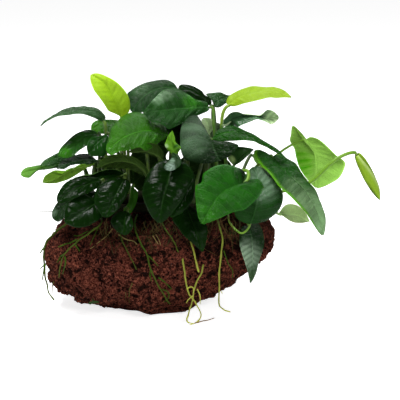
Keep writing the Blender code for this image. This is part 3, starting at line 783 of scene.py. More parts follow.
# In a dress, "wave" says how wavy the blade is. "greens" are the upper side, the tip if it differs, and
# the underside if it isn't UNDER. On the rolled leaf they are the roll, its dark folds together with the
# painted shadow under its free edge, and its free edge. "patches" have another green, painted sheen or
# painted shade, and each is given by x and z on the sheet, a size and a colour. With "left_edge" the
# left side has another colour from that share of the way out. "stalk" and "girth" are the colour and the
# thickness of the stalk, "via" the points that it passes, and "arrival" how far down the stalk the way
# of the blade is felt. "width" is the width of a blade that isn't traced.
LEAVES = [
    ("new_left", ("stem", 0.27, 95), (-2, -5, -1), (0.3, -1, 0.3), "new",
     {"wave": 0.25, "greens": [(0.31, 0.54, 0.014), (0.36, 0.58, 0.02), (0.3, 0.46, 0.03)],
      "stalk": (0.2, 0.36, 0.02)},
     [(-52.5, 55.5), (-55, 62), (-58.5, 69.5), (-63.5, 77.5), (-69, 81.5), (-72.5, 84)],
     [(-56.5, 57.5), (-61, 59.5), (-63.5, 63), (-67, 68), (-70.5, 73), (-73, 79.5), (-73, 83)],
     [(-49.5, 56.5), (-47, 60), (-47, 66), (-49.5, 72), (-55.5, 78.5), (-63.5, 83), (-68.5, 84.5)]),
    ("arching_left", ("stem", 0.135, 95), (6, 3, -4), (-0.1, -0.25, 1), "sheen",
     {"greens": [(0.035, 0.1, 0.03), (0.07, 0.15, 0.06)], "stalk": (0.14, 0.26, 0.03)},
     [(-64, 52.5), (-67.5, 57.5), (-74.5, 59.5), (-84, 59.5), (-93.5, 57.5), (-100.5, 54), (-107, 49)],
     [(-63, 55.5), (-66.5, 60), (-70.5, 62), (-77.5, 62.5), (-84, 62), (-91, 60.5), (-98.5, 56.5),
      (-104.5, 52)],
     [(-67, 53), (-71.5, 55), (-77.5, 56.5), (-86, 56.5), (-94.5, 55.5), (-101, 53)]),
    ("bright_left", ("stem", 0.29, 130), (24, 26, 24), (0, -0.6, 1), "fresh",
     {"greens": [(0.018, 0.085, 0.004), (0.045, 0.2, 0.006), (0.1, 0.26, 0.02)]},
     [(-50.5, 50), (-58.5, 51), (-66, 50.5), (-73, 46.5)],
     [(-54.5, 53), (-62, 53.5), (-68.5, 53), (-72, 50.5)],
     [(-55.5, 46), (-62, 44), (-68.5, 44), (-72, 44.5)]),
    ("shoulder_left", ("stem", 0.1, 80), (6, 0, -10), (-0.4, -0.7, 0.7), "old",
     {"wave": 0.9, "greens": [(0.014, 0.065, 0.008), (0.02, 0.09, 0.01)],
      "patches": [(-90, 31, 6, (0.03, 0.15, 0.008))]},
     [(-68.5, 44.5), (-75.5, 42.5), (-82.5, 37.5), (-89.5, 33.5), (-95, 29)],
     [(-70.5, 46), (-75.5, 46.5), (-81.5, 44.5), (-86.5, 41.5), (-91, 37), (-94, 32.5)],
     [(-70, 40), (-74.5, 36.5), (-80, 32.5), (-84.5, 29.5), (-90.5, 28.5)]),
    ("wet_front", ("branch", 0.55, 100), (-12, -26, -38), (-0.1, -0.6, 0.85), "fresh",
     {"wave": 1.2, "greens": [(0.025, 0.13, 0.004), (0.035, 0.16, 0.006), (0.12, 0.24, 0.03)]},
     [(-21, 42.5), (-28, 45), (-36, 46.5), (-44.5, 44.5), (-53.5, 39.5), (-62.5, 31.5)],
     [(-22.5, 46), (-24, 49.5), (-27, 51.5), (-31.5, 51.5), (-35, 53.5), (-38, 57), (-42.5, 58.5),
      (-47.5, 58), (-52, 56), (-55.5, 52.5), (-58.5, 48.5), (-61, 42.5), (-62.5, 36.5)],
     [(-23.5, 40.5), (-25.5, 39.5), (-29, 37.5), (-33, 34.5), (-36.5, 33), (-40, 34.5), (-45, 34),
      (-50, 32.5), (-55.5, 30.5), (-59.5, 30)]),
    ("small_left", ("stem", 0.29, 80), (-6, -10, -14), (-0.2, -1, 0.6), "old",
     {"greens": [(0.008, 0.05, 0.005), (0.008, 0.04, 0.005)]},
     [(-62.5, 44), (-66.5, 40), (-70.5, 35.5), (-74.5, 30.5)],
     [(-67, 42.5), (-71.5, 42), (-74.5, 39.5), (-75.5, 35.5), (-75, 32)],
     [(-60.5, 39.5), (-61.5, 33.5), (-64, 29.5), (-68.5, 29), (-72.5, 29)]),
    ("far_left", ("stem", 0.058, 110), (12, 8, 0), (-0.1, -0.4, 1), "sheen",
     {"greens": [(0.012, 0.06, 0.008), (0.03, 0.1, 0.02)]},
     [(-81.5, 28.5), (-89.5, 29), (-96.5, 27.5), (-102.5, 25), (-107, 23)],
     [(-86.5, 31.5), (-95, 31), (-102, 28)],
     [(-86.5, 26), (-93.5, 24.5), (-100, 22.5), (-104.5, 22.5)]),
    ("tip_left", ("stem", 0.077, 150), (20, 14, 6), (-0.1, -0.6, 0.9), "new",
     {"greens": [(0.03, 0.1, 0.015), (0.11, 0.3, 0.03), (0.12, 0.26, 0.03)]},
     [(-81.5, 26.5), (-92, 24), (-102, 22), (-111.5, 19.5), (-120, 17.5)],
     [(-90.5, 26.5), (-101.5, 24.5), (-111.5, 22.5), (-117, 21)],
     [(-90.5, 23), (-101.5, 20.5), (-108, 19.5), (-111.5, 16.5), (-114, 14.5), (-118, 15.5)]),
    ("underside_left", ("stem", 0.03, 50), (-4, -12, -20), (-0.2, 0.5, 0.9), "under",
     {"greens": [(0.14, 0.32, 0.015), (0.2, 0.42, 0.03), (0.18, 0.38, 0.03)]},
     [(-72, 24), (-81.5, 21.5), (-91.5, 17), (-100, 13.5), (-105.5, 11.5)],
     [(-80, 23.5), (-84, 22), (-89.5, 19.5), (-92.5, 18), (-96, 19), (-98.5, 20), (-102, 18), (-104, 16)],
     [(-77.5, 20), (-84, 16), (-89.5, 13), (-95, 11), (-101, 11)]),
    ("edge_left", ("stem", 0.175, 40), (-1, -7, -14), (-0.1, -0.4, 1), "sheen",
     {"greens": [(0.008, 0.035, 0.006), (0.008, 0.035, 0.006), (0.04, 0.1, 0.02)]},
     [(-68.5, 26.5), (-77.5, 26.5), (-86.5, 25), (-95.5, 20.5)],
     [(-74.5, 30), (-81.5, 30), (-88, 28), (-92.5, 25.5), (-95, 22)],
     [(-73.5, 23.5), (-80.5, 24), (-86, 22.5), (-90, 20)]),
    ("arch_middle", ("branch", 0.44, 80), (-16, -24, -30), (0, 0.65, 1), "under",
     {"greens": [(0.046, 0.105, 0.007), (0.062, 0.135, 0.01), (0.03, 0.07, 0.008)]},
     [(-35.5, 16), (-38.5, 21.5), (-44.5, 25), (-53.5, 26), (-62, 24.5), (-69.5, 21)],
     [(-34.5, 19.5), (-38.5, 25), (-44, 28.5), (-49.5, 30), (-54.5, 30.5), (-60.5, 29.5), (-66, 26.5)],
     [(-38, 16.5), (-41.5, 17.5), (-46, 19.5), (-50, 21), (-58.5, 22), (-64.5, 21.5)]),
    ("arch_upper", ("branch", 0.49, 75), (-20, -25, -28), (0, 0.6, 1), "under",
     {"greens": [(0.03, 0.085, 0.008), (0.036, 0.09, 0.008), (0.03, 0.07, 0.008)]},
     [(-24.5, 26.5), (-30, 31), (-38, 32.5), (-48, 32)],
     [(-25, 32.5), (-29.5, 37.5), (-36.5, 38), (-43.5, 36)],
     [(-28, 28), (-33, 29.5), (-39.5, 30.5), (-44, 31)]),
    ("arch_lower", ("stem", 0.22, 60), (-9, -15, -21), (0, 0.2, 1), "old",
     {},
     [(-50.5, 17.5), (-58.5, 18), (-66.5, 16.5), (-76, 14.5), (-87.5, 13.5)],
     [(-54.5, 19.5), (-60, 20), (-66, 18.5), (-72.5, 16.5), (-79.5, 15.5)],
     [(-56, 15.5), (-62, 14.5), (-68.5, 13.5), (-77.5, 12.5)]),
    ("low_left", ("branch", 0.13, 80), (-26, -35, -41), (-0.3, -0.8, 0.7), "old",
     {},
     [(-66, 13.5), (-74.5, 10.5), (-84, 6.5), (-90.5, 2.5), (-95.5, -1.5)],
     [(-72, 15), (-80, 14.5), (-86, 13.5), (-90.5, 10.5), (-93.5, 6.5), (-95.5, 2.5)],
     [(-68.5, 8), (-74.5, 4.5), (-81.5, 2), (-88, -0.5), (-93.5, -2)]),
    # glossy_left: its patch is painted sheen along its edge.
    ("glossy_left", ("branch", 0.02, 60), (-20, -26, -30), (-0.6, -0.7, 0.4), "sheen",
     {"greens": [(0.006, 0.025, 0.004), (0.01, 0.04, 0.008), (0.04, 0.1, 0.02)],
      "patches": [(-98, -8, 4, (0.1, 0.17, 0.1))]},
     [(-82.5, 0.5), (-88.5, -2), (-93.5, -6), (-96, -10.5), (-95.5, -14.5)],
     [(-89.5, 0), (-94.5, -1.5), (-97, -4.5), (-98.5, -8), (-98, -12)],
     [(-84, -4), (-88, -9.5), (-92, -14)]),
    ("bottom_left", ("branch", 0.16, 30), (-34, -44, -48), (-0.1, -0.9, 0.6), "old",
     {},
     [(-64.5, 1), (-72, -4), (-80, -9), (-90.5, -15)],
     [(-70, 6), (-76, 6), (-83, 3), (-88, -3), (-90.5, -9)],
     [(-64.5, -8), (-67, -13), (-71.5, -16), (-75.5, -17.5), (-82.5, -18), (-87.5, -16.5)]),
    ("front_left", ("branch", 0.24, 60), (-38, -48, -54), (-0.1, -1, 0.4), "old",
     {},
     [(-50.5, 14), (-54, 7.5), (-58.5, -2.5), (-63, -12)],
     [(-54.5, 15.5), (-61.5, 14), (-67.5, 9.5), (-70, 4), (-70, -2), (-68, -6.5), (-65.5, -10.5)],
     [(-47.5, 12.5), (-46.5, 9), (-48.5, 3.5), (-52.5, -3), (-56.5, -8), (-60, -11)]),
    ("small_front", ("branch", 0.33, 60), (-34, -40, -44), (0.2, -1, 0.3), "old",
     {"greens": [(0.018, 0.075, 0.005), (0.022, 0.09, 0.006), (0.04, 0.12, 0.01)]},
     [(-44.5, 8.5), (-45.5, 2), (-48.5, -4), (-52.5, -10)],
     [(-46, 7.5), (-46.5, 1.5), (-49, -4.5)],
     [(-42, 6), (-41.5, 2.5), (-43, -3.5), (-46, -8.5), (-49.5, -10.5)]),
    ("hanging_left", ("branch", 0.285, 10), (-44, -52, -55), (0, -1, 0.3), "old",
     {},
     [(-48.5, -7.5), (-50, -12.5), (-50.5, -18), (-51, -23.5)],
     [(-55.5, -8.5), (-59.5, -13), (-58, -17.5), (-54.5, -21.5)],
     [(-46, -10.5), (-44.5, -16.5), (-46.5, -21), (-48.5, -23)]),
    ("glossy_front", ("branch", 0.58, 50), (-49, -63, -67), (-0.1, -1, 0.3), "old",
     {"via": [(10, -38, 100)]},
     [(-18.5, 24.5), (-20, 18), (-22, 10), (-24.5, 1.5), (-26, -7.5), (-27, -16)],
     [(-21.5, 27), (-25.5, 26), (-30.5, 23), (-35, 17), (-37.5, 10.5), (-38.5, 5), (-37.5, 0), (-35, -6),
      (-31.5, -12)],
     [(-16, 26.5), (-12.5, 25.5), (-7.5, 23), (-5, 18), (-5.5, 12.5), (-8, 8), (-12, 0), (-18, -7.5),
      (-22.5, -13)]),
    ("behind_front", ("branch", 0.66, 60), (-38, -49, -54), (0.3, -1, 0.3), "old",
     {},
     [(-9.5, 21.5), (-8.5, 12.5), (-13.5, -0.5), (-19.5, -12)],
     [(-16, 16.5), (-20, 6.5), (-22, -4)],
     [(-5.5, 20), (-3.5, 15.5), (-3.5, 8), (-4.5, 0.5), (-8.5, -5.5), (-12.5, -9)]),
    # folded_small: its pale patch is a painted highlight on its left corner.
    ("folded_small", ("branch", 0.61, 95), (-33, -31, -29), (-0.6, -1, 0.2), "new",
     {"greens": [(0.09, 0.25, 0.01), (0.1, 0.28, 0.015), (0.1, 0.25, 0.02)],
      "patches": [(-15.5, 35, 3.5, (0.03, 0.11, 0.004)), (-22.5, 36, 2, (0.3, 0.45, 0.2))],
      "stalk": (0.04, 0.12, 0.01)},
     [(-17.5, 30), (-18, 35), (-19, 42), (-18.5, 46.5)],
     [(-20.5, 32.5), (-23, 36.5), (-21.5, 42)],
     [(-15, 31.5), (-13, 35), (-16.5, 38.5), (-17.5, 42.5)]),
    ("dark_middle", ("stem", 0.61, 80), (2, -3, -6), (-0.3, -1, 0.5), "old",
     {},
     [(-9.5, 50.5), (-12.5, 46), (-15.5, 40.5), (-17.5, 35.5)],
     [(-17, 52), (-23.5, 50), (-27, 43), (-24.5, 37.5)],
     [(-8.5, 45.5), (-10.5, 39.5), (-13.5, 35.5)]),
    # top_left: its patch is painted sheen.
    ("top_left", ("stem", 0.54, 120), (24, 18, 8), (-0.1, -0.5, 1), "sheen",
     {"wave": 0.9, "greens": [(0.012, 0.05, 0.01)], "patches": [(-40, 74, 8, (0.04, 0.1, 0.035))]},
     [(-14.5, 74), (-23.5, 74.5), (-32, 72), (-39.5, 66.5), (-46, 58.5)],
     [(-17.5, 77.5), (-22.5, 80), (-28, 80.5), (-34.5, 79), (-40.5, 76), (-46, 73), (-48.5, 71),
      (-48, 65.5)],
     [(-16, 70.5), (-21.5, 68), (-28, 64.5), (-34.5, 60.5), (-41.5, 57.5)]),
    # top_big: its first two patches are painted sheen; the third is a brighter green of the leaf.
    ("top_big", ("stem", 0.77, 90), (6, -7, -18), (-0.1, -0.75, 0.7), "sheen",
     {"via": [(36, 1.5, 120)], "wave": 1.4, "greens": [(0.012, 0.065, 0.008), (0.015, 0.07, 0.01)],
      "patches": [(-28, 68, 6, (0.13, 0.24, 0.12)), (-22, 70, 5, (0.09, 0.18, 0.08)),
      (-6, 66, 8, (0.025, 0.15, 0.008))], "stalk": (0.05, 0.15, 0.01)},
     [(6, 62), (0, 61.5), (-8, 61), (-17.5, 60.5), (-26.5, 59.5), (-33.5, 58.5), (-38.5, 58.5)],
     [(4.5, 65), (1, 66.5), (-4, 68.5), (-7.5, 70.5), (-12.5, 73.5), (-17, 74.5), (-23, 74), (-26.5, 72),
      (-30.5, 67.5), (-34, 63)],
     [(5.5, 59.5), (1, 57.5), (-4, 56), (-7.5, 54.5), (-12, 51), (-17, 48.5), (-21, 47.5), (-25.5, 50),
      (-29, 51.5), (-34, 54)]),
    ("top_behind", ("stem", 0.77, 125), (18, 18, 16), (0, -0.6, 0.9), "old",
     {},
     [(7.5, 63.5), (2, 68), (-4, 71.5), (-10, 74), (-14.5, 75.5)],
     [(7.5, 66), (6, 68), (3, 70), (1, 73), (-3.5, 75.5), (-8.5, 77), (-12.5, 77)],
     [(3.5, 63.5), (-2.5, 65.5), (-8, 68.5), (-12.5, 72)]),
    ("top_small", ("stem", 0.81, 140), (26, 27, 27), (0, -0.8, 0.8), "sheen",
     {"greens": [(0.02, 0.07, 0.018), (0.03, 0.08, 0.02)]},
     [(9.5, 62.5), (12.5, 66), (16.5, 68), (20.5, 70)],
     [(7.5, 67), (4, 70.5), (9.5, 71.5), (14, 71.5), (17.5, 70)],
     [(11.5, 61.5), (14, 62), (17.5, 64.5), (19.5, 67.5)]),
    ("new_right", ("stem", 0.865, 90), (4, 2, -6), (0, -0.25, 1), "new",
     {"via": [(41, 5, 121.5)], "wave": 0.5, "greens": [(0.27, 0.43, 0.016), (0.3, 0.46, 0.03),
      (0.26, 0.42, 0.03)], "stalk": (0.28, 0.44, 0.04), "arrival": 4},
     [(19, 63), (22.5, 66), (28.5, 69.5), (37.5, 71.5), (48.5, 72.5), (56, 70.5), (61.5, 68)],
     [(17.5, 65), (19.5, 69.5), (24, 72.5), (29, 74.5), (35, 76), (42.5, 75.5), (51, 75), (56.5, 72.5)],
     [(23, 62.5), (31.5, 64.5), (39.5, 66.5), (46, 68), (51, 67.5), (56.5, 68)]),
    # wavy_right: its upper greens hold painted sheen, which makes them grey-green. Its pale underside green
    # and the patch on its turned-over tip are the paler underside, painted lighter still as painted light.
    ("wavy_right", ("stem", 0.86, 40), (-4, -4, -4), (0, 0.2, 1), "old",
     {"wave": 0.8, "greens": [(0.05, 0.13, 0.05), (0.09, 0.19, 0.09), (0.4, 0.58, 0.3)],
      "patches": [(49, 54, 9, (0.52, 0.74, 0.38))], "stalk": (0.05, 0.15, 0.01)},
     [(15.5, 50), (20.5, 53.5), (27.5, 54.5), (34.5, 55), (40.5, 54.5), (46.5, 55), (53, 55.5)],
     [(16, 53.5), (18, 55.5), (20.5, 57.5), (25, 58), (30, 56.5), (36, 56.5), (40.5, 56), (44.5, 59),
      (48.5, 59), (51, 57.5)],
     [(18, 48.5), (24, 48.5), (27.5, 50), (31.5, 51.5), (37.5, 53.5), (40, 53), (44.5, 51), (48, 50),
      (52, 53.5)]),
    ("green_right", ("branch", 0.83, 110), (-18, -24, -29), (0.2, -0.4, 1), "fresh",
     {"wave": 0.25, "greens": [(0.008, 0.07, 0.002), (0.01, 0.08, 0.003), (0.05, 0.16, 0.01)]},
     [(8, 40.5), (14.5, 44), (22.5, 45.5), (30.5, 43.5), (40, 38.5), (48.5, 34), (57.5, 28)],
     [(11.5, 46), (16.5, 48.5), (21.5, 49.5), (25.5, 48.5), (30, 46.5), (36, 44), (42, 40), (47.5, 36.5),
      (52, 33.5)],
     [(12, 39), (19, 39.5), (27.5, 39.5), (34, 38.5), (42, 36), (47.5, 33.5), (53, 30.5)]),
    # middle: its greens are darker than those of its age, as painted shade on its right half, and its patch
    # is painted sheen on its left half.
    ("middle", ("branch", 0.735, 90), (-27, -35, -38), (-0.1, -1, 0.6), "sheen",
     {"wave": 0.9, "greens": [(0.005, 0.022, 0.003), (0.004, 0.02, 0.003)],
      "patches": [(-6, 42, 17, (0.05, 0.102, 0.048))]},
     [(7.5, 40), (8.5, 36), (10.5, 31.5), (13.5, 26)],
     [(5.5, 44), (2.5, 48.5), (-0.5, 53.5), (-2.5, 56), (-6.5, 55.5), (-10, 52.5), (-12.5, 46.5), (-13, 39),
      (-12.5, 32), (-9.5, 27), (-1.5, 25), (6, 24.5)],
     [(12, 39), (19, 39), (25, 37), (25.5, 35.5), (24.5, 34), (20.5, 29.5)]),
    # small_middle: its pale greens are painted light that comes through the thin leaf.
    ("small_middle", ("stem", 0.71, 70), (6, 8, 10), (0, -1, 0.3), "under",
     {"greens": [(0.6, 0.8, 0.42), (0.6, 0.8, 0.42), (0.6, 0.8, 0.42)]},
     [(6, 43.5), (5.5, 49.5), (3.5, 55)],
     [(3.5, 47.5), (1, 52.5), (2, 54.5)],
     [(9, 48), (9.5, 52), (7, 54.5)]),
    ("dark_right", ("branch", 0.885, 90), (-18, -18, -17), (-0.3, -1, 0.4), "old",
     {"greens": [(0.018, 0.06, 0.012), (0.03, 0.09, 0.02), (0.04, 0.12, 0.02)],
      "patches": [(20.5, 26.5, 4, (0.28, 0.42, 0.14))]},
     [(22.5, 23), (28.5, 30), (36, 34)],
     [(18.5, 28), (21.5, 33), (25.5, 35.5), (31, 35)],
     [(26.5, 25), (32.5, 30), (35, 32.5)]),
    # big_right: its two patches are painted sheen.
    ("big_right", ("stem", 0.93, 70), (-24, -40, -48), (0.55, -0.6, 0.6), "sheen",
     {"wave": 0.7, "greens": [(0.01, 0.07, 0.005), (0.28, 0.5, 0.22), (0.08, 0.18, 0.03)],
      "patches": [(63, 8, 10, (0.08, 0.17, 0.06)), (70, -4, 14, (0.17, 0.3, 0.13))],
      "left_edge": (0.86, (0.08, 0.28, 0.006)), "stalk": (0.1, 0.26, 0.015)},
     [(48, 29), (50.5, 24.5), (56, 19.5), (62.5, 14), (70, 6.5), (76, -2.5), (80, -13.5), (82.5, -24.5)],
     [(50.5, 30), (54.5, 30), (59.5, 27), (64, 24), (67.5, 18), (72.5, 12), (77.5, 6.5), (81, -2),
      (83.5, -12), (84, -18.5)],
     [(45.5, 30), (42.5, 32), (39.5, 33.5), (36.5, 33), (36, 30.5), (39.5, 24.5), (44.5, 20), (48.5, 15),
      (52.5, 9), (57.5, 4), (64, -2), (70, -8), (75.5, -16), (79.5, -22)]),
    ("hanging_middle", ("branch", 0.69, 10), (-44, -54, -58), (0, -1, 0.3), "old",
     {},
     [(-9.5, -2.5), (-5.5, -13.5), (-1.5, -24), (1.5, -35)],
     [(-14.5, -5.5), (-18.5, -12.5), (-14.5, -18.5), (-10.5, -24), (-6.5, -27.5), (-2, -31.5)],
     [(-2.5, -6.5), (2.5, -12.5), (5, -19.5), (4.5, -25.5), (3.5, -30.5)]),
    # front_heart: its patch is a painted shadow on the upper part of its blade.
    ("front_heart", ("branch", 0.91, 60), (-59, -66, -71), (-0.05, -1, 0.4), "fresh",
     {"via": [(45, -42, 95), (56, -50, 101)], "wave": 1.6, "greens": [(0.01, 0.1, 0.003),
      (0.02, 0.14, 0.005), (0.08, 0.2, 0.02)], "patches": [(31, 19, 12, (0.003, 0.03, 0.001))],
      "stalk": BRIGHT_STALK},
     [(29.5, 11.5), (21.5, 8.5), (14.5, 4.5), (8, -4), (1, -16.5)],
     [(31, 14.5), (30.5, 17), (28, 20.5), (23, 22.5), (16.5, 24), (9.5, 22.5), (4.5, 19.5), (2, 17),
      (1, 11.5), (-2.5, 9.5), (-3, 5), (-2.5, -3.5), (-1, -12)],
     [(32, 12.5), (34.5, 13.5), (38.5, 14), (41.5, 11.5), (42.5, 7.5), (40.5, 4), (36, -1), (30, -6),
      (23, -8), (14.5, -11.5), (6, -15)]),
    # grey_right: its patch is painted sheen on its left half.
    ("grey_right", ("branch", 0.935, 5), (-46, -42, -30), (0.25, -1, 0.2), "sheen",
     {"via": [(46, -36, 64), (53, -47, 60)], "wave": 0.8, "greens": [(0.006, 0.05, 0.003),
      (0.008, 0.06, 0.004)], "patches": [(42, 11, 16, (0.12, 0.215, 0.12))], "stalk": BRIGHT_STALK,
      "girth": 0.6},
     [(33.5, -16), (36.5, -8), (38.5, 2), (38.5, 12.5), (36, 22.5)],
     [(29, -15), (24, -11.5), (23, -5.5), (24, 2), (27.5, 11.5), (31.5, 18.5)],
     [(41, -15), (46, -13), (52, -8), (55, -2), (55, 5), (51, 12), (46, 18), (41, 21.5)]),
    # hanging_right: its patch is painted sheen on its left half.
    ("hanging_right", ("branch", 0.98, 10), (-33, -50, -52), (0.1, -1, 0.2), "sheen",
     {"wave": 0.8, "greens": [(0.006, 0.025, 0.005), (0.06, 0.12, 0.05), (0.04, 0.1, 0.02)],
      "patches": [(31, -37, 13, (0.19, 0.28, 0.18))], "stalk": BRIGHT_STALK, "girth": 0.7},
     [(32.5, -17.5), (34.5, -26.5), (35, -37.5), (34.5, -46.5), (33.5, -56)],
     [(28.5, -17.5), (26.5, -21.5), (26.5, -29), (28, -36), (30.5, -43.5), (32.5, -51)],
     [(37.5, -15), (40.5, -17.5), (42.5, -24), (42.5, -30.5), (39.5, -40.5), (37.5, -48), (35.5, -53)]),
    ("backlit_right", ("stem", 0.96, 100), (0, -4, -8), (0.2, 0.9, 0.3), "under",
     {"via": [(77, 3, 101)], "wave": 0.5, "greens": [(0.25, 0.52, 0.06), (0.28, 0.56, 0.08),
      (0.28, 0.56, 0.08)], "patches": [(66, 24, 14, (0.11, 0.38, 0.01))], "stalk": (0.16, 0.36, 0.02),
      "arrival": 3, "girth": 0.75},
     [(70, 40), (74, 35.5), (77, 29.5), (77.5, 22), (77.5, 14.5), (77.5, 7.5)],
     [(67.5, 42), (65.5, 45), (63.5, 48.5), (62, 49.5), (61, 48.5), (60.5, 43.5), (60, 39.5), (63, 34),
      (64, 28.5), (66.5, 21), (72.5, 12.5)],
     [(71.5, 41), (74, 42), (79, 40.5), (85, 35.5), (91, 29.5), (96, 26), (96.5, 22), (93, 15), (87, 11),
      (81.5, 8.5)]),
    # pale_right: its pale greens are painted light that comes through the thin leaf.
    ("pale_right", ("stem", 1, 120), (-6, -10, -12), (0, 0.8, 0.6), "under",
     {"via": [(66, -4, 69)], "wave": 0.4, "greens": [(0.52, 0.77, 0.29), (0.52, 0.77, 0.29),
      (0.52, 0.77, 0.29)], "stalk": BRIGHT_STALK},
     [(52.5, -9), (58.5, -9), (65.5, -10.5), (73.5, -14.5)],
     [(55.5, -4.5), (59, -2.5), (64.5, -3.5), (70, -8.5)],
     [(56.5, -11.5), (61.5, -14), (68, -15.5)]),
    ("rolled_right", ("stem", 1, 30), ((129, -15, 105), (137, -13, 91), (145, -12, 74)), (0.7, -0.7, 0.3),
     "new",
     {"via": [(80, -13, 80), (98, -18, 87), (115, -20, 103)], "greens": [(0.29, 0.49, 0.025),
      (0.06, 0.13, 0.005), (0.48, 0.66, 0.18)], "stalk": (0.16, 0.36, 0.02), "arrival": 8}),
    ("back_left", ("stem", 0.21, 100), ((-30, 30, 105), (-46, 44, 108), (-62, 58, 98)), (-0.2, 0.5, 1), "old",
     {"via": [(-26, 12, 102)], "width": 26}),
    ("back_middle", ("stem", 0.4, 100), ((-6, 34, 118), (-10, 54, 118), (-12, 72, 104)), (0, 0.6, 1), "sheen",
     {"via": [(-9, 14, 104)], "width": 30}),
    ("back_right", ("stem", 0.6, 125), ((20, 36, 112), (28, 54, 112), (36, 70, 98)), (0, 0.6, 1), "old",
     {"width": 28}),
    ("back_far_right", ("stem", 0.92, 140), (22, 34, 42), (0.4, 0.4, 1), "fresh",
     {},
     [(35, 30), (43, 27.5), (52, 23.5), (61, 17)],
     [(38, 32), (45, 29.5), (53, 27.5), (59, 22)],
     [(37, 25), (44, 19), (53, 14), (59, 14)]),
    ("back_low_left", ("stem", 0.24, 120), (20, 30, 33), (-0.2, 1, 0.3), "old",
     {"wave": 1.4, "greens": [(0.008, 0.045, 0.004), (0.014, 0.07, 0.006), (0.02, 0.06, 0.008)]},
     [(-59, 30), (-58, 21), (-57, 12), (-58, 2.5)],
     [(-65, 29), (-71, 23), (-72, 15), (-67, 8), (-61, 4)],
     [(-54, 29), (-46, 23), (-44, 15), (-48, 8), (-54, 4)]),
    ("back_low_middle", ("stem", 0.46, 110), (22, 32, 36), (0, 1, 0.3), "old",
     {"wave": 1.5, "greens": [(0.012, 0.07, 0.005), (0.02, 0.1, 0.008), (0.02, 0.06, 0.008)]},
     [(-31, 42), (-34, 28), (-34, 14), (-32, 1)],
     [(-38, 40), (-46, 30), (-49, 18), (-44, 9), (-37, 3)],
     [(-25, 41), (-20, 36), (-20.5, 33), (-22.5, 30), (-21.5, 26), (-15.5, 18), (-19, 9), (-27, 3)]),
    ("back_low_right", ("stem", 0.745, 120), (22, 31, 34), (0.1, 1, 0.3), "old",
     {"wave": 1.3, "greens": [(0.006, 0.04, 0.004), (0.012, 0.06, 0.006), (0.02, 0.06, 0.008)]},
     [(3, 33), (3, 23), (2, 12), (4, 2)],
     [(-5, 32), (-14, 26), (-16, 16), (-10, 8), (-2, 3.5)],
     [(10, 32), (20, 26), (22, 16), (16, 8), (9, 4)]),
]
# The tip of the small folded leaf is folded over the rest of it. It has a trace of its own.
FOLDED_TIP = [
    [(-18.5, 31.5), (-16, 28.5), (-16.5, 24), (-20, 21), (-24.5, 21.5)],
    [(-19, 28.5), (-20.5, 25.5), (-23, 23.5)],
    [(-14.5, 30), (-12.5, 26.5), (-12.5, 23.5), (-15, 21), (-19, 19.5), (-22.5, 20)],
]
FOLDED_TIP_DEPTHS = (-38, -56, -60)
FOLDED_TIP_FACE = (-0.4, -1, 0.5)
FOLDED_TIP_DRESS = {
    "wave": 0.3,
    "greens": [(0.006, 0.030, 0.004), (0.006, 0.030, 0.004), (0.02, 0.06, 0.01)],
    # Both patches are painted sheen on the folded tip.
    "patches": [(-20, 21.5, 4.5, (0.17, 0.25, 0.19)), (-18.5, 26, 2.5, (0.12, 0.20, 0.13))],
}
print("leaves listed:", len(LEAVES))

# %% [markdown]
# ## Building one blade
# A blade could be a plane bent with a lattice, but then its outline would have to be cut by hand. Here
# it is a grid instead: rows run from the base to the tip, columns from one margin to the other, and
# each row reaches as far as the outline says. The upper and the lower sheet are closed round the
# margin, so the blade has real thickness. The stalk is a tube that runs on under the blade as the
# thick part of the midrib.

# %% Leaf helpers
ROWS = 64
HALF_COLUMNS = 12
BLADE_THICKNESS = 0.55
# The shell gets thinner by these shares towards its margin and its tip.
MARGIN_THINNING = 0.7
TIP_THINNING = 0.5
# On a blade that isn't traced: how the veins slant and bend, how its halves fold up and droop, and how
# much closer its rows lie at both ends.
VEIN_SLANT = 0.55
VEIN_BEND = 0.018
FOLD = math.radians(6)
DROOP = 0.10
CROWDING = 0.35
# Side veins of a traced blade fan out of the lower midrib, lean on by this much per millimetre, and the
# blade arches between midrib and margin. No part of it runs into the depth more steeply than this.
FAN = 0.5
TRACED_SLANT = 0.18
CAMBER = 0.42
STEEPEST = 1.1
# Rows start this far from the base, where both margins meet, and stop this far before the tip.
BASE_GAP = 0.02
TIP_GAP = 0.015
# The way of the midrib is read over this share of its length on either side.
WAY_REACH = 0.04
# A margin seen edge on would lie infinitely deep, so its facing is never taken for less than this.
LEAST_FACING = 0.08
# Heights of the relief in millimetres: puffs between the veins, ridges, ripples of the margin, a soft
# swell and the groove over the midrib, which runs on as a rib under the blade.
PUFF = 0.13
RIDGE = 0.40
RIPPLE = 1.9
SWELL = 1.6
GROOVE = 0.35
LOWER_RIB = 0.45
# The margin gets lighter from this share of the way out, and by this much: painted light that comes
# through the thin margin. A patch of another green, painted sheen or painted shade follows the side
# veins by this share.
RIM = 0.93
RIM_GLOW = 0.9
STREAKS = 0.32


def arc(base, middle, tip, share):
    """A point or a depth on the curve through base, middle and tip, and the way the curve runs on."""
    bend = 2 * middle - 0.5 * (base + tip)
    spot = base * (1 - share) ** 2 + bend * 2 * share * (1 - share) + tip * share ** 2
    return spot, (bend - base) * (1 - share) + (tip - bend) * share


def vein_phase(level, side):
    """Where a point lies between two side veins. They leave the midrib by turns on its two sides."""
    return (level + math.copysign(VEIN_SPACING / 4, side)) / VEIN_SPACING


